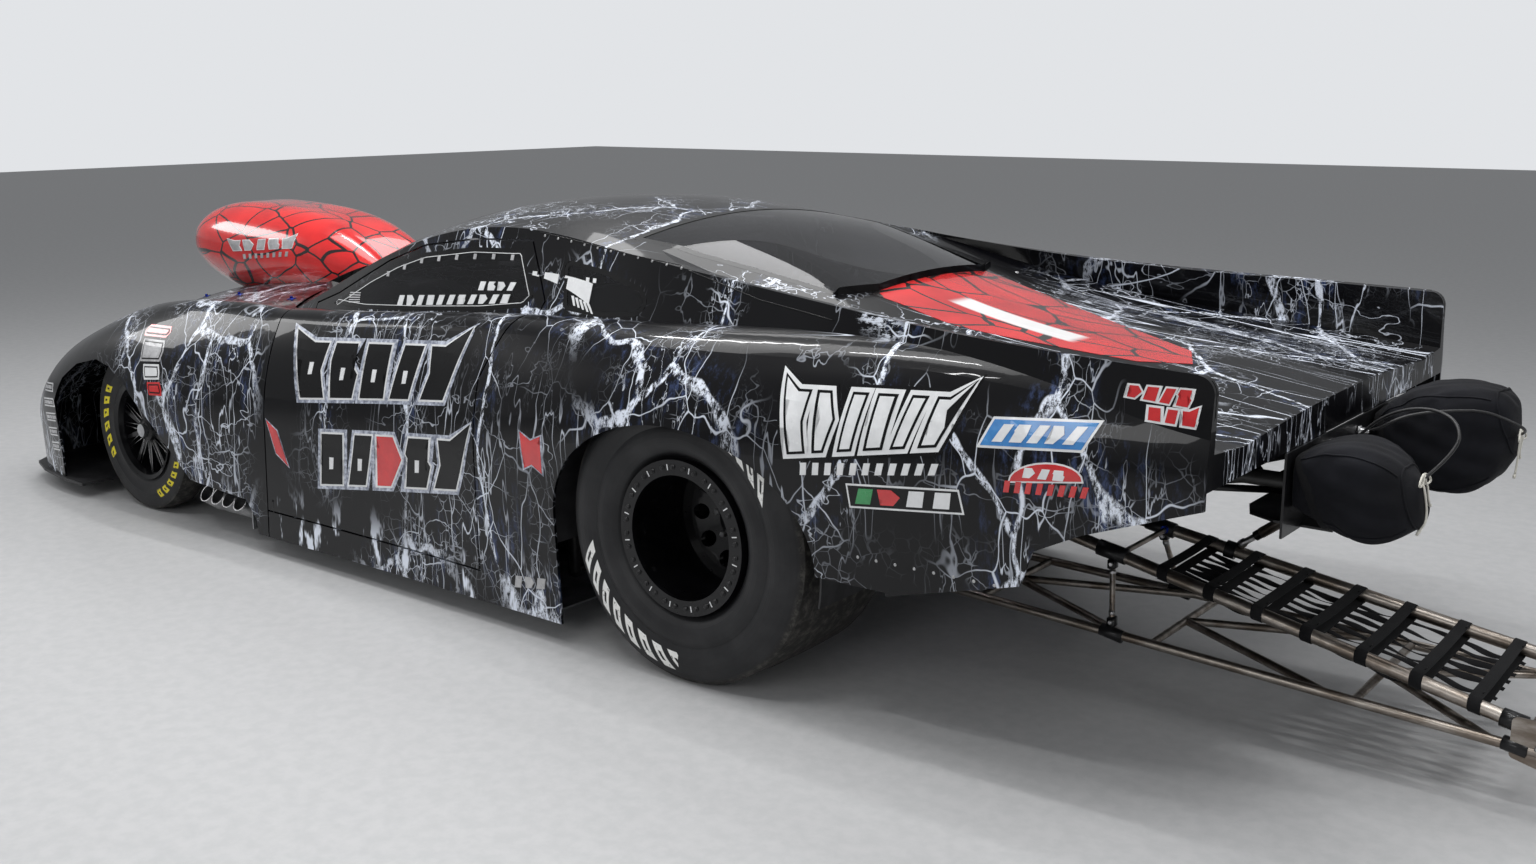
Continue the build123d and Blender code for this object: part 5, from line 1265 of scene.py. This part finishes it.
def glass_frames():
    trim("frame_windshield", "windshield", "chassis", 0.030, BLACK, 0.0, 0.0012, toward_front)
    trim("frame_rear", "rear_window", "chassis", 0.028, BLACK, 0.0, 0.0012, toward_rear)
    trim("frame_quarter", "quarter_windows", "chassis", 0.016, BLACK, 0.0, 0.0010, outward)
    for name, width, material, inward, lift in (("frame_door_", 0.015, BLACK, 0.0, 0.0010),
                                                ("line_door_", 0.0022, WHITE, 0.0155, 0.0016)):
        for tag in ("left", "right"):
            trim(name + tag, "door_window_" + tag, "door_" + tag, width, material, inward, lift,
                 outward)


glass_frames()


def cast(tree, start, way):
    """The point and normal where a ray from outside meets the tree, or none."""
    hit, normal, _, _ = tree.ray_cast(start, way)
    if hit is None:
        return None
    return hit, -normal if normal.dot(way) > 0 else normal


def on_side(tree, x, z, side):
    """The outer face's point and normal at a place in the side view."""
    return cast(tree, Vector((REAR_X + x, FAR * side, z)), Vector((0, -side, 0)))


def on_top(tree, x, y):
    """The upper face's point and normal at a place in the plan view."""
    return cast(tree, Vector((REAR_X + x, y, FAR)), Vector((0, 0, -1)))


def button_head(parts, spot, radius, height, sides=12):
    """A low round head on a spot, where there is one."""
    if spot:
        place, normal = spot
        parts.turned(place - normal * 0.0004, normal,
                     ((0, radius), (height * 0.5, radius * 0.96), (height, radius * 0.62)), sides)


SCREW = (0.0045, 0.0018)
ROOF_CREASE = [(0.825, 1.215), (0.54, 1.186), (0.20, 1.156), (-0.14, 1.088), (-0.47, 1.055)]


def fasteners():
    """Screws along the panels' edges, tabs on the door glass, hood pins and the roof's seams."""
    heads, tabs, pins, seams = Parts(), Parts(), Parts(), Parts()
    for side in (-1, 1):
        for k in range(11):
            s = k / 10
            button_head(heads, on_side(BODY_TREE, 0.80 - 0.62 * s, 1.205 - 0.055 * s, side), *SCREW)
        for k in range(16):
            button_head(heads, on_side(BODY_TREE, -0.62 - 0.055 * k, 0.500, side), *SCREW)
        tree = surface("door_window_" + TAGS[side])
        for k in range(8):
            s = k / 7
            x, z = 0.93 + 0.62 * s, 1.150 - 0.010 * s - 0.060 * s * s
            edges = [drop for drop in range(12) if on_side(tree, x, z - 0.004 * drop, side)]
            spot = on_side(tree, x, z - 0.004 * edges[0] - 0.020, side) if edges else None
            if spot:
                along = Vector((1, 0, 0))
                tabs.block(spot[0] + spot[1] * 0.0010, (0.0009, 0.007, 0.009),
                           (spot[1], along, spot[1].cross(along)))
        line = []
        for (x0, z0), (x1, z1) in zip(ROOF_CREASE, ROOF_CREASE[1:]):
            for k in range(6):
                s = k / 6
                spot = on_side(BODY_TREE, x0 + (x1 - x0) * s, z0 + (z1 - z0) * s, side)
                if spot:
                    line.append(spot[0] + spot[1] * 0.0004)
        seams.tube(line, 0.0016, 6)
        for x, y in ((2.83, 0.42), (3.22, 0.33), (2.35, 0.50)):
            spot = on_top(CLIP_TREE, x, side * y)
            if spot:
                button_head(pins, spot, 0.019, 0.003, 20)
                pins.turned(spot[0] + spot[1] * 0.002, spot[1], PIN_HEAD, 12)
        for x in (-0.20, -0.45, -0.70, -0.95, -1.20):
            button_head(heads, on_top(BODY_TREE, x, side * 0.60), 0.0075, 0.0022, 14)
    heads.make("fasteners", BRIGHT_STEEL)
    tabs.make("glass_tabs", GREY_FILM)
    pins.make("hood_pins", BLUE_ANODISED)
    seams.make("roof_seams", BLACK)


fasteners()


# Wheels: ring bolts, lug nuts, spoke edges and rim lines
def spoke(k, count, shift=0.0):
    """The direction of one of several even places round an axle, and the one across it."""
    turn = 2 * math.pi * (k + shift) / count
    way = Vector((math.cos(turn), 0, math.sin(turn)))
    return way, Vector((-way.z, 0, way.x))


def rear_wheel_details(side):
    bolts, ticks, nuts = Parts(), Parts(), Parts()
    body, out = "wheel_rear_" + TAGS[side], Vector((0, side, 0))
    face = REAR_HUB + out * 0.907
    for k in range(32):
        bolts.turned(face + spoke(k, 32, 0.5)[0] * 0.203, out, RING_BOLT, 6)
        if k % 2 == 0:
            way, across = spoke(k + 1, 32)
            ticks.block(face + way * 0.203 + out * 0.0004, (0.0006, 0.0085, 0.0016),
                        (out, way, across))
    for k in range(5):
        nuts.turned(REAR_HUB + out * 0.655 + spoke(k, 5, 0.25)[0] * 0.0575, out, REAR_NUT, 6)
    bolts.make("ring_bolts_" + TAGS[side], SATIN_BLACK, body)
    ticks.make("ring_ticks_" + TAGS[side], WHITE, body)
    nuts.make("rear_nuts_" + TAGS[side], BRIGHT_STEEL, body)


def front_wheel_details(side):
    edges, rim, nuts = Parts(), Parts(), Parts()
    body, out = "wheel_front_" + TAGS[side], Vector((0, side, 0))
    face = FRONT_HUB + out * 0.803
    for k in range(12):
        way, across = spoke(k, 12)
        for hand in (-1, 1):
            a = face + way * 0.052 + across * hand * 0.0105
            b = face + way * 0.172 + across * hand * 0.0068
            edges.tube([a, a.lerp(b, 0.5), b], 0.0011, 6)
    rim.tube(around(face + out * 0.010, Vector((1, 0, 0)), Vector((0, 0, 1)), 0.1885, 64), 0.0016,
             6, closed=True)
    for k in range(5):
        nuts.turned(face - out * 0.004 + spoke(k, 5)[0] * 0.030, out, FRONT_NUT, 6)
    edges.make("spoke_edges_" + TAGS[side], BRIGHT_STEEL, body)
    rim.make("front_rim_line_" + TAGS[side], BRIGHT_STEEL, body)
    nuts.make("front_nuts_" + TAGS[side], BRIGHT_STEEL, body)


for side in (1, -1):
    rear_wheel_details(side)
    front_wheel_details(side)


# Studio: a plain pale floor, a pale world and soft lights
FLOOR_HALF = 30.0
WORLD_SOFT, WORLD_SEEN = 0.30, 0.80


def stage_floor():
    mesh = bpy.data.meshes.new("floor")
    corners = [(x * FLOOR_HALF, y * FLOOR_HALF, 0)
               for x, y in ((-1, -1), (1, -1), (1, 1), (-1, 1))]
    mesh.from_pydata(corners, [], [(0, 1, 2, 3)])
    g = Graph("floor")
    speck = g.noise(22.0, 5.0, 0.6)
    g.set(base_color=g.mix(g.step(speck, 0.3, 0.7), (0.47, 0.475, 0.48), (0.52, 0.52, 0.525)),
          roughness=0.42, specular_ior_level=0.35)
    mesh.materials.append(g.material)
    floor = linked("floor", mesh)


def studio_world():
    """A world that lights the car less than it looks to the camera."""
    world = bpy.data.worlds.new("studio")
    bpy.context.scene.world = world
    world.use_nodes = True
    tree = world.node_tree
    background = tree.nodes["Background"]
    light_path = tree.nodes.new("ShaderNodeLightPath")
    seen = tree.nodes.new("ShaderNodeMath")
    seen.operation = "MAXIMUM"
    tree.links.new(light_path.outputs["Is Camera Ray"], seen.inputs[0])
    tree.links.new(light_path.outputs["Is Transmission Ray"], seen.inputs[1])
    mix = tree.nodes.new("ShaderNodeMix")
    mix.data_type = "FLOAT"
    tree.links.new(seen.outputs[0], mix.inputs["Factor"])
    mix.inputs["A"].default_value = WORLD_SOFT
    mix.inputs["B"].default_value = WORLD_SEEN
    tree.links.new(mix.outputs["Result"], background.inputs["Strength"])
    background.inputs["Color"].default_value = (0.95, 0.97, 1.0, 1.0)


def area_light(name, place, target, size_x, size_y, power):
    data = bpy.data.lights.new(name, "AREA")
    data.shape = "RECTANGLE"
    data.size, data.size_y = size_x, size_y
    data.energy = power
    light = linked(name, data)
    light.location = place
    aim = Vector(target) - Vector(place)
    light.rotation_euler = aim.to_track_quat("-Z", "Y").to_euler()


stage_floor()
studio_world()
area_light("overhead", (0.5, 1.0, 5.0), (0.3, 0.0, 0.0), 6.0, 2.2, 130)
area_light("overhead_far", (0.5, -2.5, 4.4), (0.3, 0.0, 0.5), 6.0, 1.2, 60)
area_light("side", (-1.5, 7.5, 3.2), (0.0, 0.0, 0.4), 6.0, 1.2, 85)
area_light("front", (6.5, 2.5, 3.0), (1.5, 0.0, 0.5), 2.0, 1.2, 40)
area_light("rear", (-7.0, 0.0, 3.5), (-1.5, 0.0, 0.5), 2.4, 1.4, 55)
for i, (x, y) in enumerate(((-2.6, 0.9), (-0.9, -0.2), (0.9, 1.1), (2.5, 0.0), (-1.0, 3.0),
                            (1.2, 3.4), (-3.6, -1.2))):
    area_light("strip_%d" % i, (x, y, 4.6), (x, y, 0.0), 1.3, 0.12, 26)
